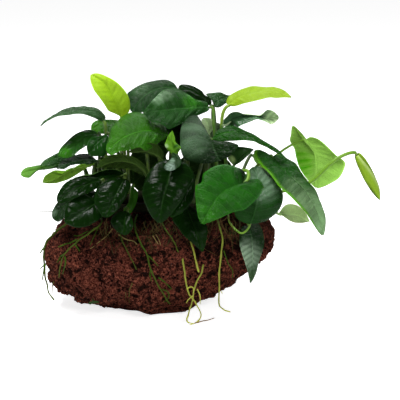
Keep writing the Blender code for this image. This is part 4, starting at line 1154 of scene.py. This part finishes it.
def relief(s, share, level, out, wave, seed):
    """How far the waves, the puffs between the veins and the midrib lift one point of a blade."""
    groove = GROOVE * bell(out, 0.8) * band(0, 0.05, 0.9, 1, share)
    turn = math.tau * vein_phase(level, s)
    puff = PUFF * (0.6 + 0.5 * wave) * math.cos(turn) * math.sin(math.pi * min(abs(s) * 1.05, 1))
    ridge = RIDGE * wave * math.cos(turn / 2 + seed) * math.sin(math.pi * min(abs(s) * 1.02, 1))
    along_margin = Vector((level / 11 + seed, s * 2, math.copysign(1.7, s)))
    ripple = RIPPLE * wave * abs(s) ** 2.2 * ease(0, 0.15, share) * noise.noise(along_margin)
    swell = SWELL * noise.noise(Vector((share * 2.3, s * 1.2, seed))) * math.sin(math.pi * share)
    return puff + ridge + ripple + swell - groove


def name_seed(name):
    """A number that differs from leaf to leaf."""
    return sum(map(ord, name)) * 0.37


def drawn_grid(name, spine, width, face, wave):
    """The middle sheet of a blade that isn't traced: for each point its spot, its level and its share."""
    shares, halves, sweeps = zip(*BLADE_SECTIONS)
    length = (spine[1] - spine[0]).length + (spine[2] - spine[1]).length
    seed = name_seed(name)
    rows = []
    for r in range(ROWS + 1):
        t = r / ROWS
        share = (1 - CROWDING) * t + CROWDING * ease(0, 1, t)
        point, ahead = arc(*spine, share)
        ahead.normalize()
        side = ahead.cross(face).normalized()
        up = side.cross(ahead)
        half = width / 2 * monotone(shares, halves, share)
        sweep = length * monotone(shares, sweeps, share)
        row = []
        for c in range(-HALF_COLUMNS, HALF_COLUMNS + 1):
            s = c / HALF_COLUMNS
            out = abs(s) * half
            level = share * length - VEIN_SLANT * out - VEIN_BEND * out * out
            lift = out * math.sin(FOLD) - DROOP * half * s * s + relief(s, share, level, out, wave, seed)
            spot = point + side * (s * half * math.cos(FOLD)) + ahead * (sweep * abs(s) ** 1.5)
            row.append((spot + up * lift, (level, math.copysign(out, s), share)))
        rows.append(row)
    return rows


def traced_margin(drawn, frames):
    """One margin of a traced blade. Its depth follows the way the face of the blade looks."""
    places = [point_on(drawn, t) for t, _, _, _ in frames]
    depths = []
    for place, (_, _, point, up) in zip(places, frames):
        way = sightline(*place)
        facing = way.dot(up)
        facing = math.copysign(max(abs(facing), LEAST_FACING), facing)
        far = (EYE + way * ((point - EYE).dot(up) / facing)).y - point.y
        limit = STEEPEST * (place - on_sheet(point)).length
        depths.append(point.y + min(max(far, -limit), limit))
    return [at_depth(*place, depth) for place, depth in zip(places, smoothed(depths, 5))]


def traced_grid(name, depths, face, wave, rib, *margins):
    """The middle sheet of a traced blade. Its midrib follows the three depths of its row."""
    spots = []
    for i, place in enumerate(even_line(rib, ROWS)):
        spots.append(at_depth(*place, arc(*depths, i / ROWS)[0]))
    length = sum((b - a).length for a, b in zip(spots, spots[1:]))
    frames = []
    for r in range(ROWS + 1):
        t = BASE_GAP + (1 - BASE_GAP - TIP_GAP) * r / ROWS
        share = FAN * t * t + (1 - FAN) * t
        ahead = point_on(spots, min(share + WAY_REACH, 1)) - point_on(spots, max(share - WAY_REACH, 0))
        ahead.normalize()
        up = (face - ahead * face.dot(ahead)).normalized()
        frames.append((t, share, point_on(spots, share), up))
    edges = []
    for margin in margins:
        drawn = even_line([rib[0]] + margin + [rib[-1]], ROWS * 2)
        edges.append(traced_margin(drawn, frames))
    half_way = ROWS // 2
    if (edges[1][half_way] - edges[0][half_way]).cross(spots[-1] - spots[0]).dot(face) < 0:
        edges.reverse()
    seed = name_seed(name)
    rows = []
    for r, (t, share, point, up) in enumerate(frames):
        row = []
        for c in range(-HALF_COLUMNS, HALF_COLUMNS + 1):
            s = c / HALF_COLUMNS
            gap = edges[0 if s < 0 else 1][r] - point
            out = abs(s) * gap.length
            level = (0.4 * share + 0.6 * t) * length - TRACED_SLANT * out
            lift = CAMBER * gap.length * abs(s) * (1 - abs(s)) + relief(s, share, level, out, wave, seed)
            row.append((point + gap * abs(s) + up * lift, (level, math.copysign(out, s), t)))
        rows.append(row)
    return rows


def three_greens(dress, age):
    """The greens of the upper side, the tip and the underside."""
    greens = list(dress.get("greens", GREENS[age]))
    if len(greens) == 1:
        greens.append(greens[0])
    if len(greens) == 2:
        greens.append(UNDER)
    return greens


def blade_green(dress, greens, spot, rib_spot, s, share, phase, upper):
    """The green of one point: it changes towards the tip, in streaky patches that are another green, painted
    sheen or painted shade, along one margin, and at the rim with painted light.
    """
    first, last, under = greens
    colour = blend(first, last, ease(0.45, 1.0, share)) if upper else under
    place = on_sheet(spot)
    # Patches of another green, of painted sheen or of painted shade.
    for x, z, size, patch in dress.get("patches", ()):
        near = 1 - ease(0.35, 1.0, (place - Vector((x, z))).length / size)
        near *= 1 + STREAKS * math.cos(math.tau * phase)
        colour = [max(value, 0) for value in blend(colour, patch, near)]
    if "left_edge" in dress and place.x < on_sheet(rib_spot).x:
        inner, bright = dress["left_edge"]
        colour = blend(colour, bright, ease(inner, inner + 0.08, s))
    # Painted light: the thin margin is painted lighter, for the light that comes through it.
    glow = 1 + RIM_GLOW * ease(RIM, 1.0, s)
    return [min(value * glow, 1) for value in colour]


def sheet_normals(rows):
    """The normal of the middle sheet at each of its points."""
    last = len(rows[0]) - 1
    normals = []
    for r, row in enumerate(rows):
        line = []
        for c in range(last + 1):
            along = rows[min(r + 1, ROWS)][c][0] - rows[max(r - 1, 0)][c][0]
            across = row[min(c + 1, last)][0] - row[max(c - 1, 0)][0]
            line.append(across.cross(along).normalized())
        normals.append(line)
    return normals


def add_blade(form, rows, dress, greens):
    """Closes the middle sheet into a thin shell and stores where each point lies on the blade."""
    normals = sheet_normals(rows)
    sheets = {}
    for sign in (1, -1):
        sheets[sign] = []
        for row, line in zip(rows, normals):
            verts = []
            for c, ((spot, (level, out, share)), normal) in enumerate(zip(row, line)):
                s = abs(c / HALF_COLUMNS - 1)
                thick = BLADE_THICKNESS * (1 - MARGIN_THINNING * s ** 4) / 2
                thick *= 1 - TIP_THINNING * ease(0.85, 1, share)
                rib = LOWER_RIB * bell(out, 0.7) * (1 - share) if sign < 0 else 0
                phase = vein_phase(level, out)
                colour = blade_green(dress, greens, spot, row[HALF_COLUMNS][0], s, share, phase, sign > 0)
                verts.append(add_vert(form, spot + normal * sign * (thick + rib), colour))
            sheets[sign].append(verts)

    def quad(corners, slot):
        places = []
        for _, r, c in corners:
            level, out, _ = rows[r][c][1]
            places.append((level / MAP_SCALE, 0.5 + out / MAP_SCALE))
        add_face(form, [sheets[sign][r][c] for sign, r, c in corners], slot, "blade", places)

    last = len(rows[0]) - 1
    for r in range(ROWS):
        for c in range(last):
            quad(((1, r, c), (1, r, c + 1), (1, r + 1, c + 1), (1, r + 1, c)), 0)
            quad(((-1, r, c), (-1, r + 1, c), (-1, r + 1, c + 1), (-1, r, c + 1)), 1)
        for c in (0, last):
            quad(((1, r, c), (1, r + 1, c), (-1, r + 1, c), (-1, r, c)), 0)
    for c in range(last):
        for r in (0, ROWS):
            quad(((1, r, c), (-1, r, c), (-1, r, c + 1), (1, r, c + 1)), 0)


print("leaf helpers ready")

# %% [markdown]
# ## The leaf that is still rolled up
# A new anubias leaf comes up rolled like a paper cone, lighter than any other. It is a strip wound one
# and a third times round its own length, so it is a grid too, but one that goes round instead of
# across.

# %% Rolled leaf helper
BUD_ROWS = 44
BUD_COLUMNS = 30
BUD_WINDINGS = 1.35
BUD_WIDTH = 8.4
BUD_KNOTS = [0, 0.05, 0.25, 0.5, 0.75, 0.92, 1]
BUD_WIDTHS = [0.52, 0.72, 1.02, 1.12, 0.90, 0.44, 0.05]
# The free edge of the roll starts at this turn and winds on by the second value, in degrees.
BUD_START = -64
BUD_WIND = 70
# The roll opens up as it winds, is a little flat, and its sheet is this thick.
BUD_OPENING = (0.80, 0.24)
BUD_FLATNESS = 0.78
BUD_THICKNESS = 0.35
# A painted shadow under the free edge, a dark fold and the pale free edge: where they start and end
# along the winding.
SHADOWED_CREASE = (0.22, 0.27, 0.29, 0.36)
CREASE_SHADE_STRENGTH = 0.5
DARK_FOLD = (0.55, 0.68, 0.74, 0.84)
FREE_EDGE = (0.92, 0.97)
# The size of the roll on the UV map.
BUD_MAP = (0.36, 0.12)


def add_rolled_blade(form, spine, face, greens):
    """A blade wound round its midrib into a long spindle."""
    sheets = []
    for inset in (0, BUD_THICKNESS):
        sheet = []
        for r in range(BUD_ROWS + 1):
            share = r / BUD_ROWS
            point, ahead = arc(*spine, share)
            ahead.normalize()
            side = ahead.cross(face).normalized()
            up = side.cross(ahead)
            radius = BUD_WIDTH / 2 * monotone(BUD_KNOTS, BUD_WIDTHS, share)
            ring = []
            for i in range(BUD_COLUMNS + 1):
                wound = i / BUD_COLUMNS
                turn = math.tau * BUD_WINDINGS * wound + math.radians(BUD_START + BUD_WIND * share)
                tight, opening = BUD_OPENING
                reach = max(radius * (tight + opening * wound) - inset * min(radius, 1), 0.02)
                spot = point + side * math.cos(turn) * reach + up * math.sin(turn) * reach * BUD_FLATNESS
                # Painted shadow under the free edge of the roll.
                crease_shadow = CREASE_SHADE_STRENGTH * band(*SHADOWED_CREASE, wound)
                dark = ease(0.45, 0.8, share) * band(*DARK_FOLD, wound)
                colour = blend(greens[0], greens[1], max(crease_shadow, dark))
                ring.append(add_vert(form, spot, blend(colour, greens[2], ease(*FREE_EDGE, wound))))
            sheet.append(ring)
        sheets.append(sheet)

    def quad(corners):
        _, row, turn = corners[0]
        place = (row / BUD_ROWS * BUD_MAP[0], 0.5 + BUD_MAP[1] * turn / BUD_COLUMNS)
        add_face(form, [sheets[side][r][i] for side, r, i in corners], 0, "blade", [place] * 4)

    for r in range(BUD_ROWS):
        for i in range(BUD_COLUMNS):
            quad(((0, r, i), (0, r, i + 1), (0, r + 1, i + 1), (0, r + 1, i)))
            quad(((1, r, i), (1, r + 1, i), (1, r + 1, i + 1), (1, r, i + 1)))
        for i in (0, BUD_COLUMNS):
            quad(((0, r, i), (0, r + 1, i), (1, r + 1, i), (1, r, i)))
    for i in range(BUD_COLUMNS):
        for r in (0, BUD_ROWS):
            quad(((0, r, i), (1, r, i), (1, r, i + 1), (0, r, i + 1)))


print("rolled leaf helper ready")

# %% [markdown]
# ## Growing all the leaves
# Every row of the table becomes one object: blade and stalk together, because a leaf is one piece.
# The stalk is a little thicker where it clasps the stem, and thins out under the blade.

# %% Build the leaves
STALK_RADIUS = 1.12
STALK_SIDES = 10
# How much thicker a stalk is at its foot, and how thick it still is where it passes under the blade.
STALK_FOOT = 0.55
STALK_UNDER = 0.72
# The stalk runs on under the blade in this many steps of this share of the midrib.
UNDER_STEPS = 9
UNDER_STEP = 0.045
# A stalk leaves the stem and meets the blade with a pull of this share of its length, up to a limit. It
# is cut into steps of about this length.
PULL = 0.9
LONGEST_PULL = 30
STALK_STEP = 2.5


def stem_spot(line_name, along, angle):
    """Where a stalk leaves the creeping stem, and in which direction."""
    line, radius = lines[line_name]
    k = min(int(along * (len(line) - 1)), len(line) - 2)
    ahead = (line[k + 1] - line[k]).normalized()
    out = Vector((0, -math.cos(math.radians(angle)), math.sin(math.radians(angle))))
    out = (out - ahead * out.dot(ahead)).normalized()
    return point_on(line, along) + out * (radius * 0.8), out


def stalk_line(start, out, via, base, ahead, arrival):
    """Points along a leaf stalk, from the creeping stem to the blade."""
    knots = [start] + [Vector(p) for p in via] + [base]
    pulls = [out * min((knots[1] - start).length * PULL, LONGEST_PULL)]
    pulls += [(after - before) * 0.5 for before, after in zip(knots, knots[2:])]
    pulls.append(ahead * min((base - knots[-2]).length * PULL, arrival))
    line = []
    for a, b, p, q in zip(knots, knots[1:], pulls, pulls[1:]):
        steps = max(6, int((b - a).length / STALK_STEP))
        line += [hermite(a, b, p, q, i / steps) for i in range(steps)]
    return line


def add_stalk(form, anchor, rib, face, dress, under):
    """The stalk of a leaf, from the stem to the blade and on under its midrib."""
    start, out = stem_spot(*anchor)
    ahead = (rib[2] - rib[0]).normalized()
    line = stalk_line(start, out, dress.get("via", ()), rib[0] - ahead * 0.8, ahead, dress.get("arrival", 12))
    radii = []
    for k in range(len(line)):
        foot = STALK_FOOT * (1 - ease(0, 0.22, k / len(line)))
        radii.append((STALK_RADIUS + foot) * dress.get("girth", 1))
    colours = [dress.get("stalk", STALK_GREEN)] * len(line)
    for step in range(UNDER_STEPS):
        share = BASE_GAP + step * UNDER_STEP
        way = (point_on(rib, share + 0.02) - point_on(rib, share)).normalized()
        up = way.cross(face).normalized().cross(way)
        line.append(point_on(rib, share) - up * (0.5 + 0.45 * ease(0, 0.1, share)))
        radii.append(STALK_RADIUS * STALK_UNDER * (1 - 0.09 * (step + 1)))
        colours.append(under)
    add_tube(form, line, radii, colours, STALK_SIDES, 2)


def build_leaf(name, anchor, spine, face, age, dress, *trace):
    """One leaf: its blade and its stalk in one object."""
    node = "leaf_" + name
    face = Vector(face)
    greens = three_greens(dress, age)
    form = new_form("blade", "skin")
    if not trace:
        spine = [Vector(place) for place in spine]
    if name == "rolled_right":
        add_rolled_blade(form, spine, face, greens)
        rib = [arc(*spine, i / ROWS)[0] for i in range(ROWS + 1)]
    else:
        if trace:
            rows = traced_grid(node, spine, face, dress.get("wave", 0.5), *trace)
        else:
            rows = drawn_grid(node, spine, dress["width"], face, dress.get("wave", 0.7))
        add_blade(form, rows, dress, greens)
        rib = [row[HALF_COLUMNS][0] for row in rows]
    if name == "folded_small":
        tip_face = Vector(FOLDED_TIP_FACE)
        tip_wave = FOLDED_TIP_DRESS["wave"]
        tip_rows = traced_grid("folded_small_tip", FOLDED_TIP_DEPTHS, tip_face, tip_wave, *FOLDED_TIP)
        add_blade(form, tip_rows, FOLDED_TIP_DRESS, FOLDED_TIP_DRESS["greens"])
    add_stalk(form, anchor, rib, face, dress, greens[2])
    upper = leaf_finish["fresh" if age == "under" else age]
    made = finish_mesh("blade_" + name, form, [upper, leaf_finish["under"], stalk_skin])
    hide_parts(node)


for row in LEAVES:
    build_leaf(*row)
print("leaves built:", len(LEAVES))

# %% [markdown]
# ## The roots
# The roots leave the underside of the stem, run over the stone, cling to it where they meet it and
# hang free below its edge. They are green where the light reaches them and straw-yellow at the ends.
# A root is a tube with a slight wobble. Its side roots are thinner and are traced on the sheet: a ray
# from the eye finds the stone behind each point, and where it finds none the side root hangs free.
# The finest fibres cling to the stone below the stem. They wander at random, from a set seed.

# %% Root values
ROOT_GREEN = (0.019, 0.058, 0.002)
ROOT_STRAW = (0.62, 0.64, 0.10)
ROOT_BEIGE = (0.26, 0.20, 0.07)
SIDE_GREEN = (0.042, 0.100, 0.004)
SIDE_LIGHT = (0.055, 0.13, 0.005)
# A row gives the name of a root, its radius, how pale its start and its end are, from 0 for green to 1
# for straw, its points and its side roots. A side root has a radius, the depth at which it hangs where
# the stone isn't behind it, a colour and its traced points.
ROOTS = [
    ("root_left_side", 0.84, (0.06, 0.12),
     [(-52, -22, 66), (-63, -17, 58), (-71, -12, 50), (-76, -12, 43), (-77, -12, 32), (-76, -12, 20),
      (-74, -14, 12), (-70, -20, 8)],
     [(0.58, -14, SIDE_LIGHT, [(-102.5, -30.5), (-105.5, -33.5), (-106.5, -35.5)]),
      (0.5, -14, SIDE_LIGHT, [(-103, -42.5), (-104, -46), (-105, -53.5)]),
      (0.5, -14, SIDE_LIGHT, [(-103, -42.5), (-106.5, -46)]),
      (0.38, -16, (0.13, 0.11, 0.02), [(-97.5, -54), (-98.5, -58), (-98.5, -62.5)])]),
    ("root_left_front", 0.62, (0.03, 0.12),
     [(-38, -28, 68), (-36, -40, 65), (-43, -43, 60), (-53, -40, 52), (-59, -36, 45), (-62, -32, 37),
      (-65, -30, 27)],
     [(0.4, -36, SIDE_GREEN, [(-75, -21), (-80, -24), (-84, -23.5)]),
      (0.45, -36, SIDE_GREEN, [(-82, -26.5), (-86.5, -29), (-90, -29.5), (-94.5, -31.5)]),
      (0.4, -36, SIDE_GREEN, [(-83.5, -30), (-80, -34.5)]),
      (0.4, -36, SIDE_GREEN, [(-90.5, -36.5), (-93, -38), (-95, -41)]),
      (0.45, -36, SIDE_GREEN, [(-90, -38), (-89.5, -42.5), (-91.5, -49)]),
      (0.35, -36, SIDE_GREEN, [(-68, -18.5), (-70, -23.5), (-73, -30)])]),
    ("root_middle_left", 0.45, (0, 0.1),
     [(-25, -27, 68), (-24, -42, 62), (-23, -47, 56), (-19, -49, 48), (-16, -49, 42), (-14, -49, 37)],
     [(0.3, -45, ROOT_BEIGE, [(-58.5, -19.5), (-62.5, -24.5), (-66.5, -27.5), (-73, -32.5)]),
      (0.35, -45, ROOT_BEIGE, [(-54, -23), (-49, -26.5), (-44.5, -27.5), (-42, -30)])]),
    ("root_middle", 0.64, (0, 0.1),
     [(-14, -29, 68), (-15, -40, 63), (-13, -46, 57), (-7, -48, 47), (-5, -49, 38), (-3, -48, 32),
      (1, -46, 27), (7, -40, 12)],
     [(0.35, -48, SIDE_GREEN, [(-34.5, -37.5), (-31, -40), (-28, -43.5)]),
      (0.35, -48, SIDE_GREEN, [(-33, -46), (-33.5, -50), (-32, -54)]),
      (0.4, -46, SIDE_GREEN, [(-27.5, -52), (-23, -55), (-18.5, -59.5)]),
      (0.35, -44, SIDE_GREEN, [(-24.5, -59.5), (-21.5, -61), (-20.5, -63.5), (-22, -66.5), (-24, -68)])]),
    ("root_middle_right", 0.52, (0, 0.1),
     [(2, -29, 68), (3, -40, 63), (8, -46, 58), (11, -48, 53), (13, -48, 48)],
     [(0.3, -46, ROOT_BEIGE, [(-31.5, -24), (-28, -29.5)]),
      (0.3, -46, ROOT_BEIGE, [(-30, -22.5), (-27.5, -26), (-26.5, -30)])]),
    ("root_stub", 0.8, (0.45, 0.75),
     [(17, -29, 68), (19, -42, 61), (21, -48, 54), (23, -51, 47), (26, -54, 37)],
     []),
    ("root_floor_left", 0.6, (0.4, 1.2),
     [(16, -50, 44), (17, -50, 35), (18, -50, 27), (20, -51, 21), (26, -51, 11), (27, -53, 6), (24, -54, 3),
      (20, -53, 1.1)],
     [(0.35, -52, ROOT_STRAW, [(-8.5, -59.5), (-6.5, -58), (-4.5, -58.5), (-4.5, -62)]),
      (0.3, -52, ROOT_STRAW, [(-5, -64), (-8, -66.5), (-9, -68.5)])]),
    ("root_floor_right", 0.6, (0.4, 1.2),
     [(29, -48, 40), (27, -48, 33), (23, -47, 25), (22, -47, 17), (20, -46, 8), (18, -47, 3),
      (19, -48, 1.4), (22, -49, 1)],
     [(0.35, -50, ROOT_STRAW, [(-2, -59.5), (0, -64), (0, -69.5)]),
      (0.4, -54, (0.22, 0.12, 0.03), [(-3.5, -82), (1, -81), (5.5, -80), (9.5, -78.5)])]),
    ("root_right", 0.72, (0, 1),
     [(36, -27, 68), (40, -40, 61), (41, -44, 54), (40, -48, 46), (39, -47, 33), (39, -47, 16),
      (40, -49, 11), (46, -50, 9)],
     [(0.3, -50, ROOT_STRAW, [(14, -61), (15, -62.5)]),
      (0.3, -46, SIDE_GREEN, [(16, -34), (18.5, -42), (22, -47), (21.5, -52)]),
      (0.35, -46, (0.07, 0.03, 0.01), [(14, -13.5), (16, -19), (20, -26.5)])]),
]
# Single fibres that stand free, each given like a side root.
SINGLE_FIBRES = [
    (0.32, -25, (0.05, 0.045, 0.02),
     [(-92, -7), (-98, -7.5), (-109.5, -7.5), (-110.3, -6), (-109.5, -3.5)]),
    (0.40, -46, (0.12, 0.09, 0.02), [(-45, -55.5), (-47, -59.5), (-47.3, -64), (-47, -68.5)]),
    (0.25, -46, (0.12, 0.09, 0.02), [(-49.5, -61.5), (-49.5, -64), (-49, -67.5)]),
    (1.10, -44, (0.02, 0.05, 0.01), [(-73.5, -69), (-70.5, -68), (-67.5, -68.2)]),
    (0.60, -44, (0.02, 0.05, 0.01), [(-71, -66), (-70.5, -68), (-69.5, -69)]),
]
side_root_count = sum(len(threads) for *_, threads in ROOTS)
print("roots listed:", len(ROOTS), "with", side_root_count, "side roots")

# %% [markdown]
# ## Laying the roots on the stone
# A root must neither float over the stone nor vanish in it. The points of a root are pushed out of the
# stone along the normal of the nearest face, and then the line is evened out, as a modeller would do
# with a shrinkwrap and a smooth brush.

# %% Build the roots
ROOT_CLEARANCE = 0.8
ROOT_SIDES = 8
# How a root wobbles, as pairs of the size of the noise and its strength in millimetres.
ROOT_WOBBLES = [(6, 0.6), (2.5, 0.3)]
ROOT_KNOBS = 0.35
# A side root hangs free if the stone lies this much deeper than its own depth.
HANGING_GAP = 8
# Side roots are made thicker than they are given by this factor, so that they show.
THREAD_SCALE = 1.25
THREAD_WOBBLE = 0.35
THREAD_SIDES = 6
# Fibres start in this part of the sheet, from left to right and from below to above.
FIBRE_COUNT = 90
FIBRE_SPAN = (-68, 26)
FIBRE_RISE = (-22, -10)
FIBRE_DEPTH = -46
FIBRE_GREEN = (0.012, 0.024, 0.003)
FIBRE_BROWN = (0.09, 0.05, 0.015)


def lay_on_stone(points, radius, steps=4):
    """A smooth line that rests on the stone wherever it would enter it."""
    line = []
    for point in spline([Vector(p) for p in points], steps):
        near, normal, _, away = solid_tree.find_nearest(point * MM)
        inside = (point * MM - near).dot(normal) < 0
        if inside or away / MM < radius + ROOT_CLEARANCE:
            point = near / MM + normal * (radius + ROOT_CLEARANCE)
        line.append(point)
    return smoothed(line, 2)


def wobbled(spot):
    """Moves a point of a root a little, but not where it meets the floor."""
    shift = Vector((0, 0, 0))
    for size, strength in ROOT_WOBBLES:
        shift += noise.noise_vector(spot / size) * strength
    return spot + shift * ease(0, 3, spot.z)


def thread_on_stone(points, radius, depth):
    """A thin traced line that lies on the stone, or hangs at a depth where it misses the stone."""
    line = []
    for place in even_line(points, max(6, len(points) * 3)):
        hit, normal = stone_tree.ray_cast(EYE * MM, sightline(*place))[:2]
        spot = at_depth(*place, depth)
        if hit and hit.y / MM < depth + HANGING_GAP:
            spot = hit / MM + normal * radius
        spot += noise.noise_vector(spot / 4) * THREAD_WOBBLE
        spot.z = max(spot.z, radius)
        line.append(spot)
    return smoothed(line, 2)


def add_thread(form, radius, depth, colour, points):
    """One thin side root that tapers to its end."""
    line = thread_on_stone(points, radius, depth)
    radii = [radius * (1 - 0.5 * k / len(line)) for k in range(len(line))]
    add_tube(form, line, radii, [colour] * len(line), THREAD_SIDES)


def build_root(name, radius, pale, points, threads):
    """One root with a slight wobble and its side roots."""
    line = [wobbled(spot) for spot in lay_on_stone(points, radius)]
    first, last = pale
    radii = []
    colours = []
    for k, spot in enumerate(line):
        along = k / len(line)
        radii.append(radius * (0.95 - 0.35 * along + ROOT_KNOBS * noise.noise(spot / 2.5)))
        colours.append(blend(ROOT_GREEN, ROOT_STRAW, first + (last - first) * along))
    form = new_form("skin")
    add_tube(form, line, radii, colours, ROOT_SIDES)
    for thin, depth, colour, traced in threads:
        add_thread(form, thin * THREAD_SCALE, depth, colour, traced)
    made = finish_mesh(name + "_skin", form, [root_skin])
    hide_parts(name)


def build_fibres():
    """The finest roots, all in one mesh."""
    form = new_form("skin")
    luck = random.Random(11)
    for _ in range(FIBRE_COUNT):
        x, z = luck.uniform(*FIBRE_SPAN), luck.uniform(*FIBRE_RISE)
        lean = luck.uniform(-0.6, 0.6)
        traced = [(x, z)]
        for _ in range(luck.randint(3, 7)):
            lean += luck.uniform(-0.4, 0.4)
            x, z = x + lean * 2.4, z - luck.uniform(1.6, 3.2)
            traced.append((x, z))
        colour = blend(FIBRE_GREEN, FIBRE_BROWN, luck.random())
        add_thread(form, luck.uniform(0.13, 0.28), FIBRE_DEPTH, colour, traced)
    for fibre in SINGLE_FIBRES:
        add_thread(form, *fibre)
    made = finish_mesh("root_fibres", form, [root_skin])


for row in ROOTS:
    build_root(*row)
build_fibres()
print("roots built:", len(ROOTS), "with", side_root_count, "side roots and", FIBRE_COUNT, "fibres")

# %% [markdown]
# ## The room
# The plant stands on a plain pale floor, in the soft light of a studio: a wide lamp above and to the
# left for the form, a weak strip in front on the right for the gleams, a long weak lamp behind that
# draws the rims, and a pale sky. Studio photographers light such a backdrop by itself to keep it white.
# Here the floor glows a little, but only in the rays that come straight from the camera, so that it
# lights nothing.

# %% Floor, light and camera
FLOOR_SIZE = 12.0
FLOOR_GLOW = 0.80
SKY_LIGHT = 0.17
LENS = 121.5
SENSOR_WIDTH = 36

floor_form = bmesh.new()
bmesh.ops.create_grid(floor_form, x_segments=2, y_segments=2, size=FLOOR_SIZE)
floor_mesh = bpy.data.meshes.new("floor")
floor_form.to_mesh(floor_mesh)
floor_form.free()
floor = bpy.data.objects.new("floor", floor_mesh)
bpy.context.scene.collection.objects.link(floor)
floor_look, tree, shader = new_material("floor_paint", 0.9, level=0.1)
seen = add_node(tree, "ShaderNodeLightPath").outputs["Is Camera Ray"]
glow = mix_colour(tree, seen, (0.0, 0.0, 0.0), (1.0, 1.0, 1.0))
paint = (0.86, 0.86, 0.86, 1)
fill(tree, shader, {"Base Color": paint, "Emission Color": glow, "Emission Strength": FLOOR_GLOW})
floor_mesh.materials.append(floor_look)

world = bpy.data.worlds.new("studio")
world.use_nodes = True
fill(world.node_tree, world.node_tree.nodes["Background"], {"Color": (1, 1, 1, 1), "Strength": SKY_LIGHT})
bpy.context.scene.world = world


def add_lamp(name, place, aim, size, power):
    """A soft rectangular lamp that looks at a point."""
    lamp = bpy.data.lights.new(name, "AREA")
    lamp.shape = "RECTANGLE"
    lamp.size, lamp.size_y = size
    lamp.energy = power
    made = bpy.data.objects.new(name, lamp)
    made.location = place
    made.rotation_euler = (Vector(aim) - Vector(place)).to_track_quat("-Z", "Y").to_euler()
    bpy.context.scene.collection.objects.link(made)


add_lamp("lamp_above", (-0.35, -0.10, 1.20), (0, 0, 0.08), (0.42, 0.32), 17)
add_lamp("lamp_front", (0.45, -1.15, 0.75), (0, 0, 0.08), (0.6, 0.15), 7)
add_lamp("lamp_behind", (0.10, 0.75, 0.75), (0, 0, 0.10), (0.8, 0.3), 2)

camera = bpy.data.cameras.new("camera")
camera.lens = LENS
camera.sensor_width = SENSOR_WIDTH
camera.clip_start = 0.01
eye = bpy.data.objects.new("camera", camera)
eye.location = EYE * MM
eye.rotation_euler = (math.pi / 2 - CAMERA_TILT, 0, 0)
bpy.context.scene.collection.objects.link(eye)
bpy.context.scene.camera = eye
# Blender's usual view softens strong colours. The plain one keeps the greens of the leaves.
bpy.context.scene.view_settings.view_transform = "Standard"
print("room ready")
